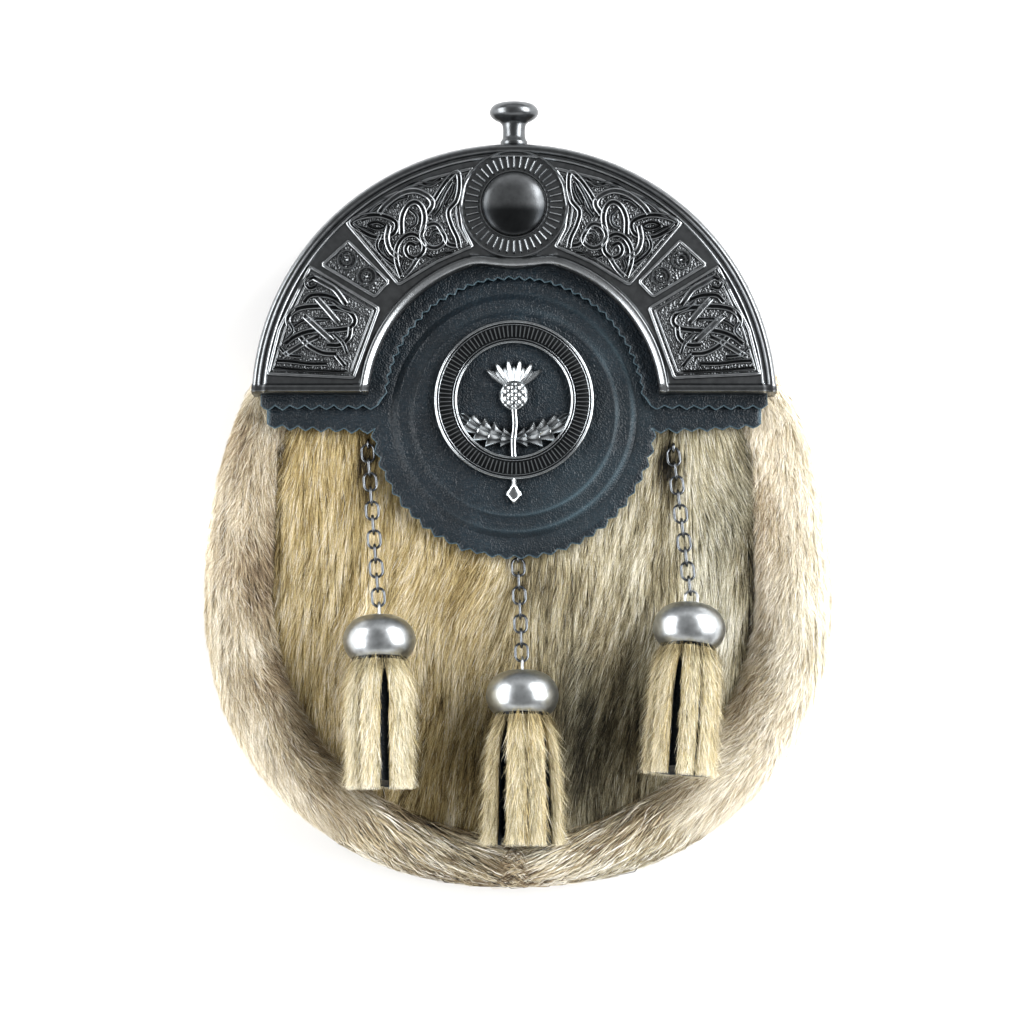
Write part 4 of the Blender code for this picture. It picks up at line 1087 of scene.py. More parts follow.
        # Each tip moves part of the way to its lock, across its own lie
        tip = course[:, 2]
        pull = (lock_middles(tip, (self.lock_mm,) * 3, 5) - tip) * rng.uniform(0.0, 0.45, (count, 1))
        pull = (pull - flow * np.sum(pull * flow, -1, keepdims=True) * 0.8) * (1.0 - 0.6 * combed)[:, None]
        course = course + pull[:, None] * (t**1.5)[:, None]
        roll = rng.normal(0.0, 0.6, count)[:, None]
        side = unit(unit(np.cross(flow, normal)) * np.cos(roll) + normal * np.sin(roll))
        width = rng.uniform(*self.hair_width, count) * (0.85 if straight else 1.0)
        tone, warmth = self.colour(share, row, root, rng)
        # Painted shade within the pile: hairs that lie lower are darker.
        tone = np.clip(tone + 0.18 * (layer / self.pile - 0.5), 0.02, 1.0)
        return hairs(course[:, ::2] if straight else course, side, width, tone, np.clip(warmth, 0.0, 1.0))

    def colour(self, share: Points, row: Points, root: Points, rng: Random) -> tuple[Points, Points]:
        """Pale cream at the sides, dark near the seam low down, and tan streaks on the right. The paler rim
        and right side are partly the hair's own tone and partly painted light; the dark near the seam is
        partly darker hair and partly painted shade, deepest in its crevice; the darkening past the rim is
        painted shade.

        Args:
            share, row: Where each hair stands round the roll and across it.
            root: Its root.
            rng: What draws the stray hairs.

        Returns:
            Each hair's tone and warmth.
        """
        low = smooth(0.62, 0.86, 1.0 - np.abs(2.0 * share - 1.0))
        right = smooth(0.45, 0.6, share)
        x, y, along, over = root[:, 0], root[:, 1], share * 520.0, row * 6.0
        mottled = waver(x, y, (9.0, 15.0), 24, 300.0)
        # Paler on the right and towards the rim: partly the hair's own tone, partly painted light.
        tone = 0.67 + 0.13 * right * (1.0 - 0.5 * low) + 0.12 * smooth(3.0, 5.0, row)
        # Darker near the seam: partly darker hair, partly painted shade, deepest in the crevice at the seam.
        tone = tone - 0.14 * (1.0 - smooth(0.8, 3.2, row)) - 0.4 * (1.0 - smooth(0.0, 0.5, row))
        tone = tone + 0.36 * mottled * (1.0 - 0.6 * right) * (1.0 - low)
        tone = tone + (0.14 + 0.3 * low) * waver(along, over, (24.0, 3.2), 21, 0.0)
        tone = tone + (0.34 + 0.2 * low) * waver(along, over, (16.0, 0.8), 22, 0.0)
        tone = tone + rng.normal(0.0, 0.18, len(share))
        # Painted shade past the rim, deeper on the right.
        tone = tone - (0.12 + 0.2 * right) * smooth(4.9, 5.9, row)
        tone = tone + 0.07 * (1.0 - right) * smooth(-24.0, 4.0, y)
        tone = tone - np.where(rng.random(len(share)) < 0.06, 0.28, 0.0)
        warmth = 0.72 + 0.5 * waver(along, over, (40.0, 8.0), 23, 0.0) - 0.15 * low
        more_tone, more_warmth = patched(x, y, self.patches)
        return tone + more_tone, warmth + more_warmth

    def build(self, finishes: Finishes) -> None:
        """Makes the roll's hide and its coat in three lengths."""
        hide = make_piece("roll_skin", self.skin(), finishes.skin, Slot.FUR, ["gusset"])
        for name, *length in (("left", 0.0, 0.35, 40), ("low", 0.35, 0.65, 50), ("right", 0.65, 1.0, 60)):
            make_piece(f"roll_coat_{name}", self.coat(*length), finishes.long_fur, Slot.FUR)


# ---- leather


def away_from(points: Points, outline: Points) -> Points:
    """The distance of each point to a closed outline: the least over its edges of the distance to the edge.

    Args:
        points: Flat points.
        outline: The outline's corners in order.

    Returns:
        The distances.
    """
    edge = np.roll(outline, -1, 0) - outline
    near = np.full(len(points), np.inf)
    for part in np.array_split(np.arange(len(outline)), max(1, len(outline) // 60)):
        offset = points[:, None] - outline[part]
        share = np.clip(np.sum(offset * edge[part], -1) / np.sum(edge[part] ** 2, -1), 0.0, 1.0)
        near = np.minimum(near, np.linalg.norm(offset - share[..., None] * edge[part], axis=-1).min(1))
    return near


def inside_of(points: Points, outline: Points) -> NDArray[np.bool_]:
    """Whether each point lies in a closed outline: a ray from it crosses the edges an odd number of times.

    Args:
        points: Flat points.
        outline: The outline's corners in order.

    Returns:
        True or false for each point.
    """
    x, y = points[:, 0][:, None], points[:, 1][:, None]
    (x0, y0), (x1, y1) = outline.T, np.roll(outline, -1, 0).T
    crosses = ((y0 > y) != (y1 > y)) & (x < (x1 - x0) * (y - y0) / np.where(y1 == y0, 1e-9, y1 - y0) + x0)
    return crosses.sum(1) % 2 == 1


def spin(loops: Points) -> float:
    """Twice the area within flat loops, summed, which is above zero where they run anticlockwise."""
    x, y = np.moveaxis(loops, -1, 0)
    return float(np.sum(x * np.roll(y, -1, -1) - y * np.roll(x, -1, -1)))


@dataclass
class CutSheet:
    """A sheet of leather cut along an outline: triangles over its face, the same under it, and a wall."""

    outline: Points
    inner: Points  # points within it that carry its relief
    low: float
    face: Callable[[Points, Points], Points]  # the face's height from the points and their way from the edge
    rounding: float = 0.55

    def shell(self) -> Shell:
        """Joins the outline and the inner points into triangles, lifts them and closes the rim."""
        outline, count = self.outline, len(self.outline)
        heading = unit(np.roll(outline, -1, 0) - np.roll(outline, 1, 0))
        inset = np.stack([-heading[:, 1], heading[:, 0]], -1) * 0.42
        beside = np.concatenate([outline + inset, outline - inset])
        beside = beside[away_from(beside, outline) > 0.38]
        inner = np.concatenate([beside, self.inner[away_from(self.inner, outline) > 0.6]])
        flat = np.concatenate([outline, inner[inside_of(inner, outline)]])
        made = delaunay_2d_cdt([Vector(p) for p in flat.tolist()], [], [list(range(count))], 1, 1e-6)
        flat, triangles = np.array([tuple(v) for v in made[0]]), np.array(made[2])
        away = away_from(flat, outline)
        top = self.face(flat, away) - self.rounding * (1.0 - smooth(0.0, 1.1, away))
        triangles = triangles if spin(flat[triangles]) > 0 else triangles[:, ::-1]
        ring = np.arange(count)
        after = (ring + 1) % count
        wall = np.stack([ring, ring + len(flat), after + len(flat), after], 1)
        wall = wall if spin(flat[:count]) > 0 else wall[:, ::-1]
        faces = np.concatenate([triangles, triangles[:, ::-1] + len(flat)])
        cut = np.concatenate([1.0 - smooth(0.0, 0.36, away), np.zeros(len(flat))])
        points = np.concatenate([with_out(flat, top), with_out(flat, self.low)])
        return Shell(points, wall, faces, {"edge": cut}).leaned()


def pinked(line: Points, pitch: float, depth: float, seed: int) -> Points:
    """Cuts teeth into a line: it moves to its right by a rounded zigzag whose depth differs by the tooth.

    Args:
        line: The line's points.
        pitch, depth: A tooth's length and depth.
        seed: Which random teeth.

    Returns:
        The cut line, finely divided.
    """
    fine = evenly(line, 0.5)
    heading = unit(np.gradient(fine, axis=0))
    along = np.arange(len(fine)) * 0.5
    teeth = max(2, round(along[-1] / pitch))
    phase = along / along[-1] * teeth
    deep = depth * np.random.default_rng(seed).uniform(0.75, 1.2, teeth)[np.floor(phase).astype(int) % teeth]
    zigzag = (1.0 - np.abs(2.0 * (phase - np.floor(phase)) - 1.0)) ** 0.8
    ragged = 0.22 * waver(along, 0 * along, (0.9, 9.0), seed, 0.0)
    return fine + heading[:, ::-1] * [1.0, -1.0] * (deep * zigzag + ragged)[:, None]


def both_sides(across: Row, up: Row) -> Points:
    """A loose grid of points and its mirror image; each way is given by its start, its end and its step."""
    grid = np.stack(np.meshgrid(np.arange(*across), np.arange(*up)), -1).reshape(-1, 2)
    return np.concatenate([grid, grid * [-1, 1]])


@dataclass
class Leather:
    """The pinked flap with its pressed rings, and the pinked band between it and the cantle."""

    thick: float = 2.0
    flap_low: float = 3.5
    flap_radius: float = 44.6
    flap_up: float = 25.3
    arm_across: float = 79.0
    arm_up: float = 22.8
    corner_up: float = 21.2
    arm_top: float = 37.0
    band_low: float = 5.8
    band_outer: float = 80.9
    band_inner: float = 41.8
    band_up: float = 28.2
    band_end_up: float = 28.5
    band_corner: float = 43.4
    tooth: Row = (4.7, 1.5)  # its pitch and its depth
    # The pressed rings: a radius and the height over the face outside them
    rings: Table = (
        (0, 1.45), (31.8, 1.45), (32.2, 1.6), (33.2, 1), (34, 0.85), (36.8, 0.8), (37.2, 0.9), (38.6, 0.05),
        (39.2, -0.25), (39.8, -0.1), (40.4, 0), (99, 0),
    )
    # The radii where the flap and the band have rings of points
    flap_radii: Row = (
        3, 8, 13, 18, 22, 25, 28, 30, 31.3, 31.8, 32.2, 32.7, 33.2, 34, 35.5, 36.4, 36.8, 37.2, 37.9, 38.6,
        39.2, 39.8, 40.4, 41.2, 42.2, 43, 43.7,
    )
    band_radii: Row = (41.2, 42, 42.8, 43.6, 44.6, 45.6, 48, 54, 62, 72)

    def flap_outline(self) -> Points:
        """The left arm's lower edge, the disc's lower arc, the right arm, and the hidden top edge."""
        centre, radius = (0.0, self.flap_up), self.flap_radius
        drop = self.flap_up - self.corner_up
        start = math.degrees(math.asin(drop / radius))
        corner = -math.sqrt(radius**2 - drop**2)
        arm = ((-self.arm_across, self.arm_up), (-62.0, self.corner_up + 0.5), (corner, self.corner_up))
        arm = spline(arm, 12)
        lower = [pinked(arm, *self.tooth, 61)[:-1]]
        lower.append(pinked(arc(centre, radius, 180.0 + start, 360.0 - start, 90), *self.tooth, 62))
        lower.append(pinked((arm * [-1, 1])[::-1], *self.tooth, 63)[1:])
        top = math.degrees(math.asin((self.arm_top - self.flap_up) / radius))
        ends = np.array([[[self.arm_across, self.arm_top]], [[-self.arm_across, self.arm_top]]])
        rest = np.concatenate([ends[0], arc(centre, radius, top, 180.0 - top, 60), ends[1]])
        return np.concatenate([*lower, evenly(rest, 1.4)])

    def flap_face(self, points: Points, away: Points) -> Points:
        """The flap's height: pressed rings about the disc's middle, and a slow waver of the leather.

        Args:
            points: Flat points.
            away: How far each is from the edge.

        Returns:
            The height out of each.
        """
        across, up = points.T
        radius = np.hypot(across, up - self.flap_up)
        out = self.flap_low + self.thick + np.interp(radius, *np.array(self.rings).T)
        out = out + 0.22 * waver(across, up, (14.0, 11.0), 64) * (radius < 60)
        curl = 0.5 * (cloud(across, up, (9.0, 9.0), 65) - 0.3)
        return out + curl * (1.0 - smooth(0.0, 5.0, away)) * (up < 20.0)

    def flap(self) -> Shell:
        """The flap: points at each step of the pressed rings, and its arms. The rings are faintly rubbed pale;
        on the right the leather carries a painted sheen and its ring edges painted highlights.
        """
        rings = [arc((0.0, self.flap_up), r, 0.0, 360.0 - 360.0 / 220, 219) for r in self.flap_radii]
        inner = np.concatenate([*rings, both_sides((45.2, 79.0, 0.9), (20.6, 37.0, 0.9))])
        sheet = CutSheet(self.flap_outline(), inner, self.flap_low, self.flap_face).shell()
        across, up = sheet.points[:, 0], sheet.points[:, 1]
        radius = np.hypot(across, up - self.flap_up)
        # The pale mark edge here is faint rubbed wear on the rings everywhere, and on the right (lit) a
        # painted sheen over the leather and painted highlights along the ring edges.
        rubbed = np.exp(-(((radius - 32.8) / 0.55) ** 2)) + np.exp(-(((radius - 38.0) / 0.6) ** 2))
        lit = smooth(-14.0, 34.0, across - 0.25 * (up - self.flap_up)) * (radius < 44.0)
        cloudy = cloud(across, up, (11.0, 9.0), 71)
        wear_and_sheen = 0.1 * lit * cloudy + (0.06 + 0.5 * lit) * rubbed * (0.3 + 0.7 * cloudy)
        return sheet.marked(edge=np.maximum(sheet.marks["edge"], wear_and_sheen))

    def band_outline(self) -> Points:
        """The outer arc under the cantle, both pinked ends, and the pinked inner arc."""
        centre, (pitch, depth) = (0.0, self.band_up), self.tooth
        end = np.array([[-self.band_outer, self.band_end_up], [-self.band_corner, self.band_end_up]])
        end = evenly(end, 1.0)
        left, right = pinked(end, pitch, depth, 66), pinked((end * [-1, 1])[::-1], pitch, depth, 67)
        inner = pinked(arc(centre, self.band_inner, 176.0, 4.0, 120), 0.72 * pitch, 0.8 * depth, 68)
        outer = evenly(arc(centre, self.band_outer, 1.0, 179.0, 120), 1.5)
        return np.concatenate([outer, left, inner, right])

    def band_face(self, points: Points, away: Points) -> Points:
        """The band's height, which wavers a little near its inner edge."""
        lump = waver(points[:, 0], points[:, 1], (8.0, 8.0), 69) * (1.0 - smooth(0.0, 4.0, away))
        return self.band_low + self.thick + 0.35 * lump

    def band(self) -> Shell:
        """The band, with points along its inner edge where it shows."""
        rings = [arc((0.0, self.band_up), r, 0.0, 180.0, 200) for r in self.band_radii]
        inner = np.concatenate([*rings, both_sides((44.0, 80.0, 1.0), (28.0, 33.0, 0.9))])
        return CutSheet(self.band_outline(), inner, self.band_low, self.band_face).shell()

    def build(self, finishes: Finishes) -> None:
        """Makes both sheets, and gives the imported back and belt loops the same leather."""
        make_piece("flap", self.flap(), finishes.leather, Slot.LEATHER, ["leather_flap"], 40.0)
        make_piece("band", self.band(), finishes.leather, Slot.LEATHER, ["leather_backing"], 40.0)
        for name in ("back_panel", "belt_loop_left", "belt_loop_right"):
            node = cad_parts[name]
            node.data.materials.clear()
            node.data.materials.append(finishes.leather)


# ---- cantle

# The ornament is drawn on a grid of 0.316 mm, counted to the left from the middle line and up from the arcs'
# centre, and its right half is the mirror image.
DRAWN = 0.316
ARCS_UP = 28.2


def drawn(points: Table) -> Points:
    """Turns points of the drawing grid to the front frame's across and up."""
    return np.array(points, float) * [-DRAWN, DRAWN] + [0.0, ARCS_UP]


@dataclass(frozen=True)
class Band:
    """A band of the interlace: its width, its lift over the others, and its course on the drawing grid."""

    width: float
    lift: float
    course: Table
    closed: bool = False

    # A half of its section: two rounded ridges with a groove between them, on a foot
    half_section: Table = ((-1, -0.45), (-1, 0.3), (-0.84, 0.72), (-0.6, 0.86), (-0.36, 0.62), (-0.16, 0.28))

    def section(self) -> Points:
        """The section: rows of across, a share of the half width, and up, and their mirror image."""
        rows = np.array(self.half_section) * [self.width / 2, 1.0]
        return np.concatenate([rows, (rows * [-1.0, 1.0])[::-1]])


@dataclass
class Cantle:
    """One casting: a half ring with rounded rims, a sunk field, panels of interlace, and a ribbed boss."""

    up: float = ARCS_UP
    outer: float = 83.4
    inner: float = 46.4
    end_up: float = 31.8
    bulge_up: float = 120.75
    bulge_radius: float = 48.75
    low: float = 8.1
    skirt_low: float = 0.3
    skirt: float = 1.8
    field: float = 13.2
    boss_up: float = 92.2
    boss_radius: float = 10.3
    boss_dome: float = 3.6
    rib_radii: Row = (11.3, 11.8, 15.3, 15.9)
    rib_rise: Row = (0.1, 0.85, 0.95, 0.1)
    rib_count: int = 42
    ring_radius: float = 17.0
    columns: int = 200
    # A rim's section: the way in from its edge and the height out
    outer_rim: Table = (
        (0, 12.4), (0.12, 13.5), (0.45, 14.3), (1, 14.8), (1.6, 14.85), (2.2, 14.55), (2.7, 13.95),
        (2.95, 13.2), (3.25, 13.15), (3.45, 13.9), (3.75, 14.2), (4.05, 14.15), (4.35, 13.7), (4.6, 13.2),
    )
    inner_rim: Table = (
        (0, 12.2), (0.1, 13), (0.35, 13.75), (0.8, 14.15), (1.8, 14.7), (2.3, 14.85), (2.7, 14.6), (3, 14),
        (3.4, 13.2),
    )
    end_rim: Table = (
        (0, 12.2), (0.12, 13.2), (0.4, 14.1), (0.85, 14.65), (1.5, 14.8), (2.1, 14.7), (2.6, 14.3),
        (2.9, 13.8), (3.2, 13.2),
    )
    knot_frame: Table = ((205, 139), (136, 97), (161, 27), (247, 31), (236, 76))
    ring_frame: Table = ((167, 165), (126, 124), (140, 109), (193, 141))
    beast_frame: Table = (
        (168, 183), (116, 121), (78, 144), (42, 160), (51, 178), (54, 200), (50, 222), (42, 239), (86, 228),
        (128, 210),
    )
    ring_spots: Table = ((168, 146), (148, 129))
    bands: tuple[Band, ...] = (
        # The end panel's knot
        Band(2.2, 0, ((226, 79), (227, 88), (216, 97), (194, 99), (169, 95), (160, 86), (164, 78),
            (179, 75), (204, 74), (219, 69), (230, 61))),
        Band(1.9, 0, ((211, 103), (204, 110), (189, 110), (178, 106))),
        Band(2.3, 0.35, ((201, 128), (190, 122), (179, 115), (169, 101))),
        Band(1.7, 0, ((201, 128), (209, 124), (206, 117), (199, 119))),
        Band(2.3, 0.5, ((198, 107), (188, 96), (177, 83))),
        Band(2.3, 0.5, ((210, 89), (196, 76), (183, 64))),
        Band(2.1, 0.15, ((215, 68), (206, 59), (192, 52), (178, 51))),
        Band(2.1, 0.3, ((232, 49), (219, 57), (209, 63), (198, 68))),
        Band(2.1, 0, ((164, 78), (166, 67), (175, 60), (188, 60))),
        Band(1.8, 0.2, ((179, 50), (170, 39))),
        Band(1.7, 0, ((238, 44), (222, 43), (206, 41), (188, 41))),
        Band(1.2, 0, ((216, 116), (212, 124), (205, 131))),
        Band(1.5, 0.25, ((182, 104), (172, 97), (160, 93))),
        Band(1.3, 0.2, ((222, 78), (212, 84), (200, 86), (186, 86))),
        Band(1.4, 0.2, ((236, 58), (228, 50), (214, 48))),
        Band(1.5, 0.3, ((182, 72), (172, 62), (168, 52))),
        Band(1.1, 0, ((240, 37), (220, 35), (200, 34), (170, 33))),
        Band(1.4, 0.3, ((228, 66), (222, 74), (226, 82))),
        # The upper panel's knotted beast
        Band(2, 0, ((164, 184), (152, 190), (134, 191), (119, 184), (122, 172), (139, 169), (153, 175)),
             closed=True),
        Band(1.3, 0, ((147, 181), (138, 184), (130, 180), (137, 177)), closed=True),
        Band(2.2, 0.3, ((126, 180), (128, 167), (124, 155), (114, 147))),
        Band(1.5, 0.1, ((134, 172), (138, 160), (132, 150), (118, 140))),
        Band(2.2, 0.2, ((113, 172), (113, 188), (108, 200), (100, 205), (93, 200), (90, 188), (93, 172))),
        Band(2.2, 0.35, ((136, 193), (129, 202), (114, 213), (99, 216), (86, 210), (82, 202), (88, 192))),
        Band(2, 0.15, ((83, 202), (75, 216), (66, 228), (57, 235), (55, 221), (58, 206), (66, 195),
            (63, 181), (57, 168), (55, 158))),
        Band(1.4, 0.3, ((78, 196), (70, 213), (63, 225))),
        Band(1.2, 0.2, ((68, 203), (62, 214), (60, 222))),
        Band(2, 0.1, ((113, 128), (118, 144), (118, 158), (111, 169), (101, 172), (92, 165), (91, 155),
            (98, 148), (106, 150), (109, 157), (105, 163), (99, 160))),
        Band(1.9, 0.3, ((112, 128), (104, 136), (97, 147))),
        Band(1.9, 0.25, ((55, 160), (66, 162), (71, 172), (78, 182), (88, 180), (93, 170), (87, 160),
            (78, 158), (70, 164), (71, 172), (79, 175), (84, 169))),
        Band(1.6, 0, ((116, 214), (100, 224), (84, 222), (74, 228))),
        Band(1.5, 0.1, ((146, 196), (138, 203), (128, 208))),
        Band(1, 0.1, ((158, 180), (150, 178), (141, 173))),
        Band(1.2, 0.2, ((109, 131), (113, 138), (111, 146))),
        Band(1.2, 0, ((88, 150), (80, 148), (72, 152), (62, 153))),
        Band(1.2, 0.2, ((125, 200), (118, 206), (108, 209))),
        Band(1.4, 0.3, ((104, 196), (98, 190), (99, 182), (105, 178))),
        Band(1.2, 0.2, ((80, 190), (74, 198), (72, 206))),
        Band(1.1, 0.3, ((78, 168), (82, 165), (82, 171), (77, 174))),
        Band(1.1, 0.2, ((126, 148), (131, 156), (129, 166))),
    )

    def inner_edge(self, turn: Points) -> Points:
        """The inner edge's radius at an angle: the arc, or the bulge's circle where that is nearer, rounded.

        Args:
            turn: The angles in radians.

        Returns:
            The radii, joined by the logarithm of the two's summed exponentials.
        """
        rise, soft = self.bulge_up - self.up, 0.8
        under = np.maximum(self.bulge_radius**2 - (rise * np.cos(turn)) ** 2, 1.0)
        bulge = np.where(np.abs(np.cos(turn)) < 0.5, rise * np.sin(turn) - np.sqrt(under), 99.0)
        return -soft * np.log(np.exp(-np.minimum(bulge, 60.0) / soft) + np.exp(-self.inner / soft))

    def body(self) -> Shell:
        """The half ring: rows across it at fixed ways in from both edges, columns round it at fixed ways from
        its ends, and at each point the highest of the three rims."""
        rims = (self.outer_rim, self.inner_rim, self.end_rim)
        outer_rim, inner_rim, end_rim = (np.array(rim).T for rim in rims)
        from_outer = np.concatenate([outer_rim[0], [6.0, 9.0, 13.0]])[:, None]
        from_inner = np.concatenate([inner_rim[0], [5.0, 8.0, 12.0]])[::-1, None]
        from_end = np.concatenate([end_rim[0], [3.21, 4.2, 5.5, 7.0]])
        share = np.linspace(0.0, 1.0, self.columns)
        inward, outward = self.outer - from_outer + 0 * share, self.inner_edge(math.pi * share) + from_inner
        radius = np.concatenate([inward, outward])

        # The turn of each column, and the radius that it has there
        near = np.arcsin((self.end_up - self.up + from_end) / radius[:, :1])
        even = near[:, -1:] + (math.pi - 2 * near[:, -1:]) * share
        turn = np.concatenate([near[:, :-1], even, math.pi - near[:, -2::-1]], 1)
        wide = np.pad(radius, ((0, 0), (len(from_end) - 1,) * 2), "edge")
        across, up = wide * np.cos(turn), self.up + wide * np.sin(turn)

        outside, inside = self.outer - wide, wide - self.inner_edge(turn)
        out = np.full_like(across, self.field)
        for (place, height), way in ((outer_rim, outside), (inner_rim, inside), (end_rim, up - self.end_up)):
            raised = np.interp(way, place, height)
            edge = np.minimum(raised, np.where(out > self.field, out, raised))
            out = np.where(way < place[2], edge, np.maximum(out, raised))
        lowest = np.where(outside < self.skirt, self.skirt_low, self.low)
        top, under = np.stack([across, up, out], -1), np.stack([across, up, lowest], -1)
        loop = np.concatenate([top, under[::-1]], 0).transpose(1, 0, 2)
        length, columns = loop.shape[:2]
        step = np.arange(len(radius) - 1)
        first = np.stack([step, step + 1, columns - 2 - step, columns - 1 - step], 1)
        ends = [first, first[:, ::-1] + (length - 1) * columns]
        shell = Shell(loop.reshape(-1, 3), np.concatenate([grid_faces(length, columns), *ends]))

        # It shines on its rims, and most along a line on each, which is partly rubbed metal and partly a
        # painted highlight
        height = shell.points[:, 2]
        shine = 0.04 + 0.2 * smooth(12.3, 13.1, height) - 0.06 * smooth(13.2, 13.9, height)
        rubbed = np.exp(-(((inside - 1.35) / 0.75) ** 2)) + 0.8 * np.exp(-(((outside - 3.75) / 0.4) ** 2))
        rubbed = rubbed + 0.35 * np.exp(-(((outside - 0.6) / 0.5) ** 2))
        shine = shine + 0.7 * np.concatenate([rubbed, 0 * rubbed]).T.ravel()
        return shell.leaned().outward().marked(shine=np.clip(shine, 0.0, 1.0), stipple=0.0)

    def raised(self, shell: Shell, low_shine: float = 0.1, foot: float = 0.0) -> Shell:
        """Leans a piece of relief, and lets its shine rise with its height over the field and foot."""
        over = smooth(0.35, 1.0, shell.points[:, 2] - (self.field + foot))
        return shell.leaned().marked(shine=low_shine + (0.54 - low_shine) * over, stipple=0.0)

    def ridge(self, corners: Table, width: float, height: float, inset: float = 0.0) -> Shell:
        """A raised frame round a panel: a low rounded bar along its outline, drawn in towards its middle.

        Args:
            corners: The panel's corners on the drawing grid.
            width, height: The bar's.
            inset: How far the line is drawn in.

        Returns:
            The frame.
        """
        outline = drawn(corners)
        middle = outline.mean(0)
        reach = np.linalg.norm(outline - middle, axis=1, keepdims=True)
        line = evenly(middle + (outline - middle) * (1.0 - inset * 1.25 / reach), 0.9, closed=True)
        half, low = width / 2, height - 0.34 * width
        top = [[half, low], [0.3 * half, height], [-0.3 * half, height], [-half, low]]
        bar = np.array([*top, [-half, -0.5], [half, -0.5]])
        return self.raised(swept(with_out(line, self.field), bar, closed=True))

    def ground(self, corners: Table) -> Shell:
        """A panel's punched ground: its outline drawn in over a low bevel to its middle."""
        outline, rises = evenly(drawn(corners), 1.2, closed=True), np.array([-0.4, 0.12, 0.28, 0.28, 0.28])
        rows = drawn_in(outline, outline.mean(0), (1.0, 1.0, 0.96, 0.6, 0.1), self.field + rises)
        return lofted(rows).leaned().marked(shine=0.0, stipple=1.0)

    def band(self, band: Band) -> Shell:
        """A band of interlace: its two-ridged section along its spline, lifted between its ends.

        Args:
            band: Its sizes and course.

        Returns:
            The band.
        """
        line = evenly(spline(drawn(band.course), 10, band.closed), 0.75, band.closed)
        share = np.linspace(0.0, 1.0, len(line))
        ends = 1.0 if band.closed else smooth(0.0, 0.12, share) * smooth(1.0, 0.88, share)
        line = with_out(line, self.field + 0.25 + band.lift * ends)
        return self.raised(swept(line, band.section(), band.closed), 0.03, 0.3)

    def round_bar(self, middle: Points, radius: float, width: float, height: float) -> Shell:
        """A ring of relief: a low rounded bar of this width and height along a circle."""
        turn = np.linspace(0.0, FULL_TURN, max(20, int(radius * 9)), endpoint=False)
        line = with_out(middle + radius * around(turn), self.field + 0.1)
        return self.raised(swept(line, domed_bar(width, height, 0.5), closed=True), 0.38)

    def pip(self, middle: Points, radius: float, height: float) -> Shell:
        """A small dome of relief: a quarter ellipse turned about its middle."""
        dome = around(np.radians(np.linspace(90.0, 0.0, 6))) * [radius, height]
        dome = revolved(np.concatenate([dome, [[radius, -0.4], [0.0, -0.4]]]) + [0.0, self.field], 16)
        return self.raised(dome.moved(dome.points + [*middle, 0.0]), 0.2)

    def ribs(self) -> Shell:
        """The ribs round the boss: short rounded bars, higher towards their outer ends."""
        section = domed_bar(0.95, 1.0, 0.0, 4)
        across, up = section.T
        out = self.field + 0.1 + np.where(up > 0, up * np.array(self.rib_rise)[:, None], -0.4)
        bars = radial_bars(self.rib_count, self.rib_radii, across, out, self.boss_up)
        return self.raised(bars, 0.34)

    def ornament(self) -> list[Shell]:
        """The left half's relief: frames, grounds, bands, rings and pips."""
        made = []
        for corners, inner_line in ((self.knot_frame, 1.5), (self.ring_frame, 0.0), (self.beast_frame, 1.4)):
            made += [self.ground(corners), self.ridge(corners, 1.3, 0.95)]
            if inner_line:
                made.append(self.ridge(corners, 0.9, 0.7, inner_line))
        made += [self.band(band) for band in self.bands]
        for spot in drawn(self.ring_spots):
            made += [self.round_bar(spot, 2.9, 0.8, 1.25), self.round_bar(spot, 1.6, 0.6, 1.1)]
            made.append(self.pip(spot, 0.65, 1.15))
        return made

    def boss(self) -> Shell:
        """The polished dome: a quarter ellipse turned about its middle, over an upright edge, with a painted
        reflection: lighter on its upper half, darker on its lower half and its sides.
        """
        low, radius = self.field + 0.3, self.boss_radius
        dome = around(np.radians(np.linspace(90.0, 0.0, 22))) * [radius, self.boss_dome - 0.5]
        dome = revolved(np.concatenate([dome + [0.0, low + 0.5], [[radius, low], [0.0, low]]]))
        across, up = dome.points[:, 0], dome.points[:, 1]
        # Painted reflection: the upper half lighter, the lower half darker, and both sides darker still.
        dim = 1.0 - 0.8 * smooth(0.55, 0.9, np.abs(across) / radius)
        shine = (0.04 + 0.24 * smooth(-2.6, 0.6, up)) * dim
        return dome.moved(dome.points + [0.0, self.boss_up, 0.0]).leaned().marked(shine=shine, stipple=0.0)

    def build(self, finishes: Finishes) -> None:
        """Makes the casting with both halves of its ornament, and the boss."""
        left, middle = self.ornament(), np.array([0.0, self.boss_up])
        rings = [self.round_bar(middle, self.ring_radius, 0.9, 1.15)]
        rings.append(self.round_bar(middle, self.boss_radius + 0.35, 0.5, 0.7))
        casting = joined([self.body(), *left, *[shell.mirrored() for shell in left], self.ribs(), *rings])
        make_piece("cantle_casting", casting, finishes.antique, Slot.ANTIQUE, ["cantle"], 50.0)
        make_piece("boss", self.boss(), finishes.antique, Slot.ANTIQUE, ["cantle_boss"])


# ---- badge and knob


def tapered(line: Points, half_widths: Points, section: Table) -> Shell:
    """A leaf or petal: a section carried along a line, its across shares times the half width there."""
    across, up = np.array(section).T
    return swept(line, np.stack([half_widths[:, None] * across, up + 0 * half_widths[:, None]], -1))


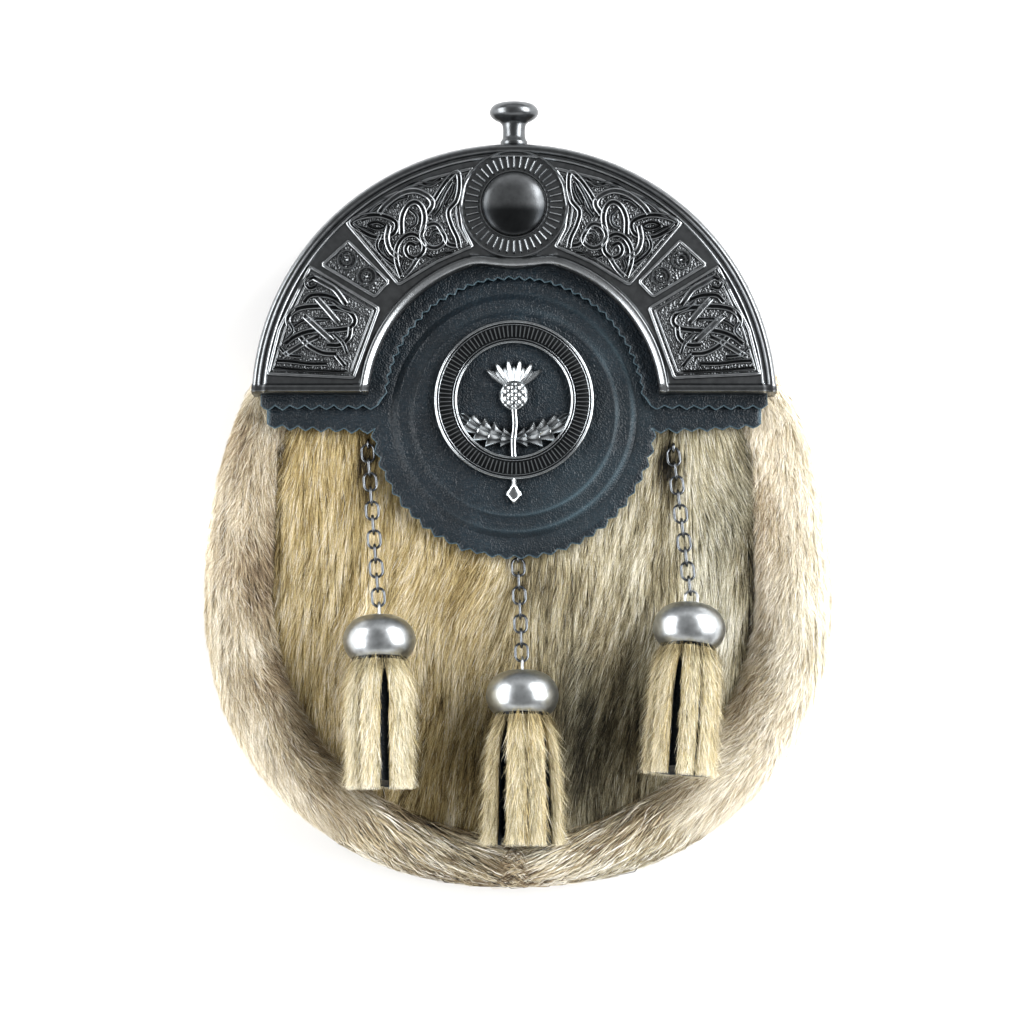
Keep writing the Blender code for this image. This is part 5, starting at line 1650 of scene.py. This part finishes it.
@dataclass
class Badge:
    """One pierced casting: a ribbed ring with double rims, a thistle sprig across it and a drop below."""

    up: float = 30.2
    low: float = 7.3
    top: float = 8.4
    outer: float = 25.6
    inner: float = 18.0
    # The rims: a radius, a width and a height
    rims: Table = ((25.05, 1.1, 0.95), (24.1, 0.42, 0.5), (18.5, 1, 0.9), (19.45, 0.42, 0.5))
    rib_count: int = 104
    rib_radii: Row = (19.9, 20.2, 23.6, 23.9)
    rib_rise: Row = (0, 1, 1, 0)
    rib_section: Table = ((-0.3, -0.2), (-0.16, 0.42), (0.16, 0.42), (0.3, -0.2))
    bulb: Row = (4.7, 4.9)
    bulb_up: float = 1.4
    petals: int = 11
    petal: Table = ((-1, -0.9), (-0.75, 0.2), (-0.3, 0.45), (0, 0.28), (0.3, 0.45), (0.75, 0.2), (1, -0.9))
    leaf_teeth: int = 5
    leaf_spine: Table = ((0, -12.6), (6.5, -11.4), (12.5, -8.6), (17.9, -4.4))
    leaf_section: Table = (
        (-1, -1.1), (-1, -0.05), (-0.8, 0.6), (-0.42, -0.05), (-0.2, 0.35), (0, 0.95), (0.2, 0.35),
        (0.42, -0.05), (0.8, 0.6), (1, -0.05), (1, -1.1),
    )
    stem_line: Table = ((0, -2.5), (0.35, -8), (-0.2, -13.5), (0, -18.6))
    drop_line: Table = ((0, -24.9), (0, -28), (0, -30.4), (0, -33.4))
    # The drop: a share of its length and its half width there, and its facets
    drop_half: Table = ((0, 0.9), (0.22, 0.8), (0.5, 2.1), (0.66, 2.5), (0.85, 1.2), (1, 0.1))
    drop_section: Table = ((-1, -0.95), (-1, 0.1), (-0.72, 0.5), (0, 0.95), (0.72, 0.5), (1, 0.1), (1, -0.95))

    def circle_bar(self, radius: float, section: Points, out: float) -> Shell:
        """A ring with a given section about the badge's middle."""
        turn = np.linspace(0.0, FULL_TURN, 160, endpoint=False)
        return swept(with_out(radius * around(turn), out), section, closed=True)

    def ring(self) -> list[Shell]:
        """The flat ring, its double rims and its fine ribs."""
        half, thick = (self.outer - self.inner) / 2, self.top - self.low
        right = np.array([[half - 0.1, 0.0], [half, 0.1], [half, thick - 0.1], [half - 0.1, thick]])
        plate = np.roll(np.concatenate([right, (right * [-1.0, 1.0])[::-1]]), 2, 0)
        made = [self.circle_bar(self.inner + half, plate, self.low).marked(shine=0.04)]
        for radius, width, height in self.rims:
            bar = domed_bar(width, height, 0.2, 7)
            made.append(self.circle_bar(radius, bar, self.top - 0.05).marked(shine=0.8))
        across, up = np.array(self.rib_section).T
        out = self.top + np.where(up < 0, up, up * np.array(self.rib_rise)[:, None] - 0.05)
        made.append(radial_bars(self.rib_count, self.rib_radii, across, out).marked(shine=0.8))
        return made

    def head(self) -> list[Shell]:
        """The thistle's bulb, a dome with scales on two slanted sets of rows, and its fan of petals."""
        columns = 84
        ring, turn = np.linspace(0.02, 1.0, 30)[:, None], FULL_TURN * np.arange(columns) / columns
        x, y = ring * np.cos(turn) * self.bulb[0], ring * np.sin(turn) * self.bulb[1]
        scales = np.abs(np.sin((x + y) * 1.25)) * np.abs(np.sin((x - y) * 1.25))
        out = self.top - 0.1 + 1.7 * np.sqrt(np.maximum(1.0 - ring**2, 0.0)) + 0.45 * scales * (1 - ring**6)
        top = np.stack([x, y + self.bulb_up, out], -1)
        under = top[-1:] * [1.0, 1.0, 0.0] + [0.0, 0.0, self.low]
        shine = [(0.25 + 0.75 * smooth(0.05, 0.5, scales)).ravel(), np.zeros(columns), [0.5, 0.0]]
        made = [lofted(np.concatenate([top, under])).marked(shine=np.concatenate(shine))]
        for k in range(self.petals):
            slant, short = math.radians(-52.0 + 104.0 * k / (self.petals - 1)), k % 2
            heading = np.array([math.sin(slant), math.cos(slant)])
            foot = np.array([2.7 * heading[0], self.bulb_up + 3.1])
            tip = foot + (6.4 if short else 8.6) * heading
            bend = (foot + tip) / 2 + [0.25 * math.sin(2 * slant), 0.2]
            line = with_out(spline([foot, bend, tip], 7), self.top + 0.05 * short)
            share = np.linspace(0.0, 1.0, len(line))
            half = 0.25 + 0.95 * np.sin(math.pi * np.clip(share * 0.85 + 0.12, 0, 1)) ** 0.8
            half[-1] = 0.06
            made.append(tapered(line, half, self.petal).marked(shine=0.55 - 0.25 * short))
        return made

    def leaf(self) -> Shell:
        """The right leaf: its half width swells and dies away, cut by forward teeth, about a midrib."""
        line = spline(self.leaf_spine, 26)
        share = np.linspace(0.0, 1.0, len(line))
        tooth = share * self.leaf_teeth % 1.0
        half = (1.0 + 3.9 * np.sin(math.pi * np.clip(share * 0.9 + 0.08, 0, 1))) * (0.5 + 0.5 * tooth**1.3)
        half = np.minimum(half, 0.3 + 14.0 * (1 - share))
        return tapered(with_out(line, self.top), half, self.leaf_section)

    def build(self, finishes: Finishes) -> None:
        """Joins the ring, the sprig and the drop, and marks the high places bright."""
        leaf = self.leaf()
        stem = swept(with_out(spline(self.stem_line, 6), self.top - 0.05), domed_bar(1.9, 0.75, 1.0, 7))
        line = with_out(spline(self.drop_line, 7), self.top - 0.1)
        half = np.interp(np.linspace(0.0, 1.0, len(line)), *np.array(self.drop_half).T)
        sprig = joined([leaf, leaf.mirrored(), stem, tapered(line, half, self.drop_section)])
        shine = 0.15 + 0.85 * smooth(self.top + 0.05, self.top + 0.35, sprig.points[:, 2])
        whole = joined([*self.ring(), *self.head(), sprig.marked(shine=shine)])
        whole = whole.moved(whole.points + [0.0, self.up, 0.0]).leaned().marked(stipple=0.0)
        make_piece("thistle_badge", whole, finishes.bright, Slot.BRIGHT, ["badge"], 50.0)


@dataclass
class Knob:
    """The turned knob on the cantle's crown: a flat-topped ball on a necked stem with a foot."""

    out: float = 7.6
    foot_up: float = 111.9
    # Rows of a radius and a height over the crown
    profile: Table = (
        (0, 14), (2.5, 13.95), (4.8, 13.65), (6.4, 13.1), (7.35, 12.2), (7.85, 11.1), (7.8, 10.2), (7.2, 9.2),
        (6, 8.3), (4.7, 7.7), (4.2, 7.3), (3.75, 6.6), (3.55, 5), (3.6, 3), (3.8, 2.1), (4.1, 1.6),
        (4.35, 1.2), (4.35, 0.3), (4.2, 0), (0, 0),
    )

    def build(self, finishes: Finishes) -> None:
        """Turns the knob about its axis and lays the axis along the front."""
        shell = revolved(self.profile)
        x, y, z = shell.points.T
        laid = shell.moved(np.stack([x, z + self.foot_up, -y + self.out], -1)).leaned().outward()
        laid = laid.marked(shine=0.2 + 0.06 * smooth(6.0, 12.0, z), stipple=0.0)
        make_piece("crown_knob", laid, finishes.antique, Slot.ANTIQUE, ["knob"], 60.0)


# ---- chains and tassels


@dataclass(frozen=True)
class Hanging:
    """Where one tassel hangs, and how its own coat looks."""

    name: str
    cup: Row  # its middle on the front
    staple: Row  # the chain's upper end
    links: int
    lean_deg: float
    lift_deg: float
    spread: float  # how much wider it is at its cut end
    pale: float
    gaps: Table  # between strips, where they show: a turn from the front and an opening in degrees
    seed: int


@dataclass
class Tassel:
    """A staple, a chain of oval links, a cup, and a tassel of seven fur strips."""

    hanging: Hanging
    wire: float = 0.9
    link_width: float = 4.9
    link_inner: float = 5.0
    link_pitch: float = 4.72
    staple_half: float = 1.3
    staple_rise: float = 2.7
    staple_foot: float = 0.3
    top_link_out: float = 1.5
    cup_out: float = 11.9
    eye_up: float = 8.6
    strips: int = 7
    strip_low: float = -47.4
    strip_length: float = 44.0
    hairs_in_strip: int = 5000
    hidden_gap_deg: float = 6.0
    # The strips' course: a height, their middle radius and half thickness
    course: Table = (
        (-3, 5.6, 1.1), (-7, 6.6, 1.2), (-10, 7.6, 1.4), (-17, 8.9, 1.6), (-30, 9.3, 1.6), (-48, 9.3, 1.6),
    )
    # The cup and the dark core of the tassel: rows of a radius and a height
    cup_profile: Table = (
        (0, 7.5), (2.6, 7.45), (5, 7.15), (7, 6.45), (8.8, 5.3), (10.2, 3.7), (11.1, 2), (11.5, 0.3),
        (11.5, -1.1), (11.2, -2.7), (10.6, -4.2), (9.8, -5.4), (9, -6.2), (8.65, -6.5), (8.6, -7.2),
        (8.4, -7.4), (8, -7.4), (7.8, -7.1), (7.7, 0), (0, 0.2),
    )
    core: Table = ((0, -0.5), (7.2, -0.6), (7, -8), (7.6, -16), (8, -30), (8, -45.9), (0, -46))

    def turn(self) -> Points:
        """The turn from the cup's own frame to the front frame: tipped on its side, lifted, then leaned."""
        lean, lift = math.radians(self.hanging.lean_deg), math.radians(self.hanging.lift_deg)
        return np.array(Matrix.Rotation(lean, 3, "Z") @ Matrix.Rotation(math.radians(-90.0) - lift, 3, "X"))

    def hung(self, points: Points) -> Points:
        """Turns points of the cup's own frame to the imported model's frame."""
        return leaned(points @ self.turn().T + [*self.hanging.cup, self.cup_out])

    def wire_along(self, line: Points, normal: Row | Points, closed: bool = True) -> Shell:
        """Wire bent along a line."""
        return swept(line, self.wire / 2 * around(FULL_TURN * np.arange(8) / 8), closed, normal)

    def link_line(self) -> Points:
        """A link's centre line: a circle drawn apart along its length."""
        turn = (np.arange(28) + 0.5) * FULL_TURN / 28
        line = (self.link_width - self.wire) / 2 * around(turn)
        apart = (self.link_inner + 2.0 * self.wire - self.link_width) / 2
        return with_out(line + np.sign(line) * [0.0, apart], 0.0)

    def link(self, centre: Points, along: Points, face_on: bool) -> Shell:
        """One link about its centre.

        Args:
            centre: Its centre in the front frame.
            along: The chain's heading.
            face_on: Whether it lies flat to the front or on its edge.

        Returns:
            The link.
        """
        across = unit(np.cross(along, OUT))
        out = np.cross(across, along)
        across, out = (across, out) if face_on else (-out, across)
        line = centre + self.link_line() @ np.stack([across, along, out])
        return self.wire_along(line, out).leaned().marked(shine=0.62, stipple=0.0)

    def centres(self) -> tuple[Points, Points]:
        """The links' centres, from the cup up, on the taut line to the staple, and that line's heading."""
        hanging = self.hanging
        eye = np.array([*hanging.cup, self.cup_out]) + self.turn() @ [0.0, 0.0, self.eye_up]
        reach = self.link_pitch * hanging.links + (self.link_inner + self.wire) / 2
        fall = (self.top_link_out - eye[2]) / reach
        flat = unit(np.array(hanging.staple) - eye[:2]) * math.sqrt(1.0 - fall**2)
        heading = np.array([*flat, fall])
        return eye + heading * self.link_pitch * (np.arange(hanging.links) + 1)[:, None], heading

    def staple(self, top_link: Points) -> Shell:
        """The wire arch over the chain's top link, half a circle with both feet on the hide.

        Args:
            top_link: The top link's centre.

        Returns:
            The staple.
        """
        middle = top_link[1] + (self.link_inner + self.wire) / 2
        arch = self.staple_half * around(np.radians(np.linspace(180.0, 0.0, 13)))
        arch = arch + [middle, self.staple_rise - self.staple_half]
        feet = arch[[0, -1]] * [1.0, 0.0] + [0.0, self.staple_foot]
        line = np.concatenate([feet[:1], arch, feet[1:]])
        line = np.stack([0 * line[:, 0] + top_link[0], *line.T], -1)
        return self.wire_along(line, (1.0, 0.0, 0.0), False).leaned().marked(shine=0.7, stipple=0.0)

    def cup(self, face_on: bool) -> Shell:
        """The cup, turned about its own axis, with the wire eye that its chain holds.

        Args:
            face_on: Whether the eye lies flat to the front or on its edge.

        Returns:
            The cup.
        """
        bell = revolved(self.cup_profile)
        height = bell.points[:, 2]
        bell = bell.marked(shine=0.9 - 0.9 * smooth(-6.2, -6.5, height) * (height < 0.0))
        line = self.link_line()[:, [0, 2, 1] if face_on else [2, 0, 1]] + [0.0, 0.0, self.eye_up]
        eye = self.wire_along(line, (0.0, 1.0, 0.0) if face_on else (1.0, 0.0, 0.0)).marked(shine=0.7)
        whole = joined([bell, eye])
        return whole.moved(self.hung(whole.points)).marked(stipple=0.0)

    def strip_sides(self) -> tuple[Points, Points]:
        """Where each strip starts and ends, in radians: between the gaps that show and even ones behind."""
        turns, opened = np.array(self.hanging.gaps).T
        hidden = self.strips - len(turns)
        edges = np.concatenate([turns, np.linspace(turns[-1], turns[0] + 360.0, hidden + 2)[1:]]) - 90.0
        opened = np.concatenate([opened, np.full(hidden, self.hidden_gap_deg), opened[:1]])
        return np.radians(edges[:-1] + opened[:-1] / 2), np.radians(edges[1:] - opened[1:] / 2)

    def strip_spots(self, number: Points, share: Points, across: Points, over: Points) -> Points:
        """Places on the strips: down a strip by a share, across it, and over its middle line.

        Args:
            number: Which strip.
            share: From 0 at the cup to 1 at the cut end.
            across: From -1 to 1.
            over: How far out of the strip's middle, as a share of its half thickness.

        Returns:
            Points of the cup's own frame.
        """
        heights, radii, halves = np.array(self.course).T
        up = heights[0] + (self.strip_low - heights[0]) * share
        radius, half_thick = np.interp(-up, -heights, radii), np.interp(-up, -heights, halves)
        start, end = self.strip_sides()
        before, after = (start - np.roll(end, 1)) % FULL_TURN, (np.roll(start, -1) - end) % FULL_TURN
        shut = 0.46 * (1.0 - smooth(0.06, 0.34, share))
        first, last = start[number] - before[number] * shut, end[number] + after[number] * shut
        turn = (first + last) / 2 + across * (last - first) / 2
        wander = np.random.default_rng(self.hanging.seed).uniform(-1.0, 1.0, self.strips)
        away = radius + 0.3 * wander[number] * share + over * half_thick
        away = away * (1.0 + (self.hanging.spread - 1.0) * share)
        return with_out(away[..., None] * around(turn), up + 1.3 * np.sin(turn) * smooth(0.5, 1.0, share))

    def strip(self, number: int) -> Shell:
        """One strip of leather: a flat section with rounded corners, drawn down its course.

        Args:
            number: Which strip.

        Returns:
            The strip, with its cut end marked.
        """
        rows, columns = 18, 20
        share = np.linspace(0.0, 1.0, rows)[:, None] + np.zeros(columns)
        ring = around((np.arange(columns) + 0.5) * FULL_TURN / columns)
        across, over = (np.sign(ring) * np.abs(ring) ** 0.6 * [0.98, 0.85]).T
        spots = self.strip_spots(np.full((rows, columns), number), share, across, over)
        cut = np.concatenate([0.2 * smooth(0.985, 1.0, share.ravel()), [0.0, 0.2]])
        return lofted(self.hung(spots)).marked(edge=cut)

    def coat(self) -> Shell:
        """The hair of all the strips: laid down their outsides, fuzzy at their edges, cut off at the end."""
        hanging = self.hanging
        rng = np.random.default_rng(hanging.seed + 7)
        count = self.strips * self.hairs_in_strip
        start_turn, end_turn = self.strip_sides()
        wide = end_turn - start_turn
        number = rng.choice(self.strips, count, p=wide / wide.sum())
        start, across = rng.uniform(-0.02, 0.97, count), rng.uniform(-1.02, 1.02, count)
        length = rng.uniform(3.5, 8.5, count) / self.strip_length
        stray = rng.random(count) < 0.2
        drift = rng.normal(0.0, 0.22, count) + np.where(stray, rng.normal(0.0, 0.4, count), 0.0)
        end = np.minimum(start + length, 1.0 + rng.uniform(0.0, 0.02, count))
        limit = 1.04 + np.where(stray, rng.uniform(0.0, 0.22, count), 0.0)[:, None]
        sideways = np.clip(np.stack([across, across + drift], 1), -limit, limit)
        layer = rng.uniform(0.1, 0.75, count)
        rise = np.stack([np.full(count, -0.15), 0.9 + np.where(stray, rng.uniform(0.5, 3.6, count), 0.0)], 1)
        crown = 1.0 - 0.3 * np.minimum(np.abs(sideways), 1.1) ** 4
        share = np.stack([start, end], 1)
        both = np.repeat(number[:, None], 2, 1)
        spots = self.strip_spots(both, share, sideways, crown + layer[:, None] * rise)
        course = self.hung(spots)

        # Each hair's flat side faces out, rolled a little
        beside = (self.strip_spots(number, start, across + step, crown[:, 0]) for step in (-0.1, 0.1))
        here, ahead = map(self.hung, beside)
        side = unit(ahead - here)
        outward = unit(self.hung(spots[:, 0] * [1.1, 1.1, 1.0]) - course[:, 0])
        roll = rng.normal(0.0, 0.45, count)[:, None]
        side = unit(side * np.cos(roll) + outward * np.sin(roll))
        width = rng.uniform(0.12, 0.28, count)

        strand, down = number * 9.0 + sideways[:, 0] * 4.0 + 5.0, start * self.strip_length + 9.0
        streak = waver(strand, down, (0.7, 14.0), hanging.seed, 0.0)
        # Painted shade between the strips: the hair darkens towards each strip's edges.
        tone = 0.80 + hanging.pale - 0.3 * np.minimum(np.abs(across), 1.0) ** 7
        tone = tone + 0.06 * smooth(0.72, 1.0, start) + 0.2 * streak
        tone = tone + 0.14 * waver(strand, down, (0.25, 9.0), hanging.seed + 1, 0.0)
        # Painted shadow under the cup: the hair darkens near the strips' tops.
        tone = tone - 0.2 * smooth(0.15, 0.06, start) + rng.normal(0.0, 0.12, count)
        warmth = 0.5 + 0.8 * streak + rng.normal(0.0, 0.1, count)
        return hairs(course, side, width, np.clip(tone, 0.05, 0.98), np.clip(warmth, 0.0, 1.0))

    def build(self, finishes: Finishes) -> None:
        """Makes the staple, the links one by one, the cup, the leather strips and their hair."""
        name = self.hanging.name
        centres, heading = self.centres()
        for k, centre in enumerate(centres[::-1]):
            link, place = self.link(centre, heading, k % 2 == 0), f"{k + 1:02d}"
            make_piece(f"{name}_link_{place}", link, finishes.wire, Slot.BRIGHT, [f"link_{name}_{place}"])
        staple = self.staple(centres[-1])
        make_piece(f"{name}_staple", staple, finishes.wire, Slot.BRIGHT, [f"chain_staple_{name}"])
        cup = self.cup(self.hanging.links % 2 == 0)
        make_piece(f"{name}_cup", cup, finishes.satin, Slot.SATIN, [f"tassel_cup_{name}"], 60.0)
        plug = revolved(self.core, 36)
        plug = plug.moved(self.hung(plug.points)).marked(edge=0.0)
        strips = joined([plug, *[self.strip(k) for k in range(self.strips)]])
        make_piece(f"{name}_tassel_strips", strips, finishes.leather, Slot.LEATHER, [f"tassel_{name}"], 60.0)
        make_piece(f"{name}_tassel_coat", self.coat(), finishes.fur, Slot.FUR)


HANGINGS = (
    Hanging("left", (-42.6, -46), (-47, 17), 11, 0.5, 8, 0.88, 0.03,
            ((-80, 5), (-36, 3), (12, 19), (72, 4)), 81),
    Hanging("centre", (2.6, -63.4), (1.2, -19), 7, 0, 6.6, 1.09, -0.06,
            ((-82, 5), (-33, 16), (8, 2.5), (45, 12), (84, 5)), 82),
    Hanging("right", (55.5, -42.2), (50.6, 17), 10, -4.5, 10, 0.95, -0.03,
            ((-64, 4), (-17, 16), (24, 4.5), (66, 5)), 83),
)


def main() -> None:
    """Builds the studio and each sub-assembly in order."""
    logging.basicConfig(level=logging.INFO, format="%(name)s %(message)s")
    Studio().build()
    finishes = Finishes()
    for part in (FrontHide(), FurRoll(), Leather(), Cantle(), Badge(), Knob(), *map(Tassel, HANGINGS)):
        part.build(finishes)


if __name__ == "__main__":
    main()
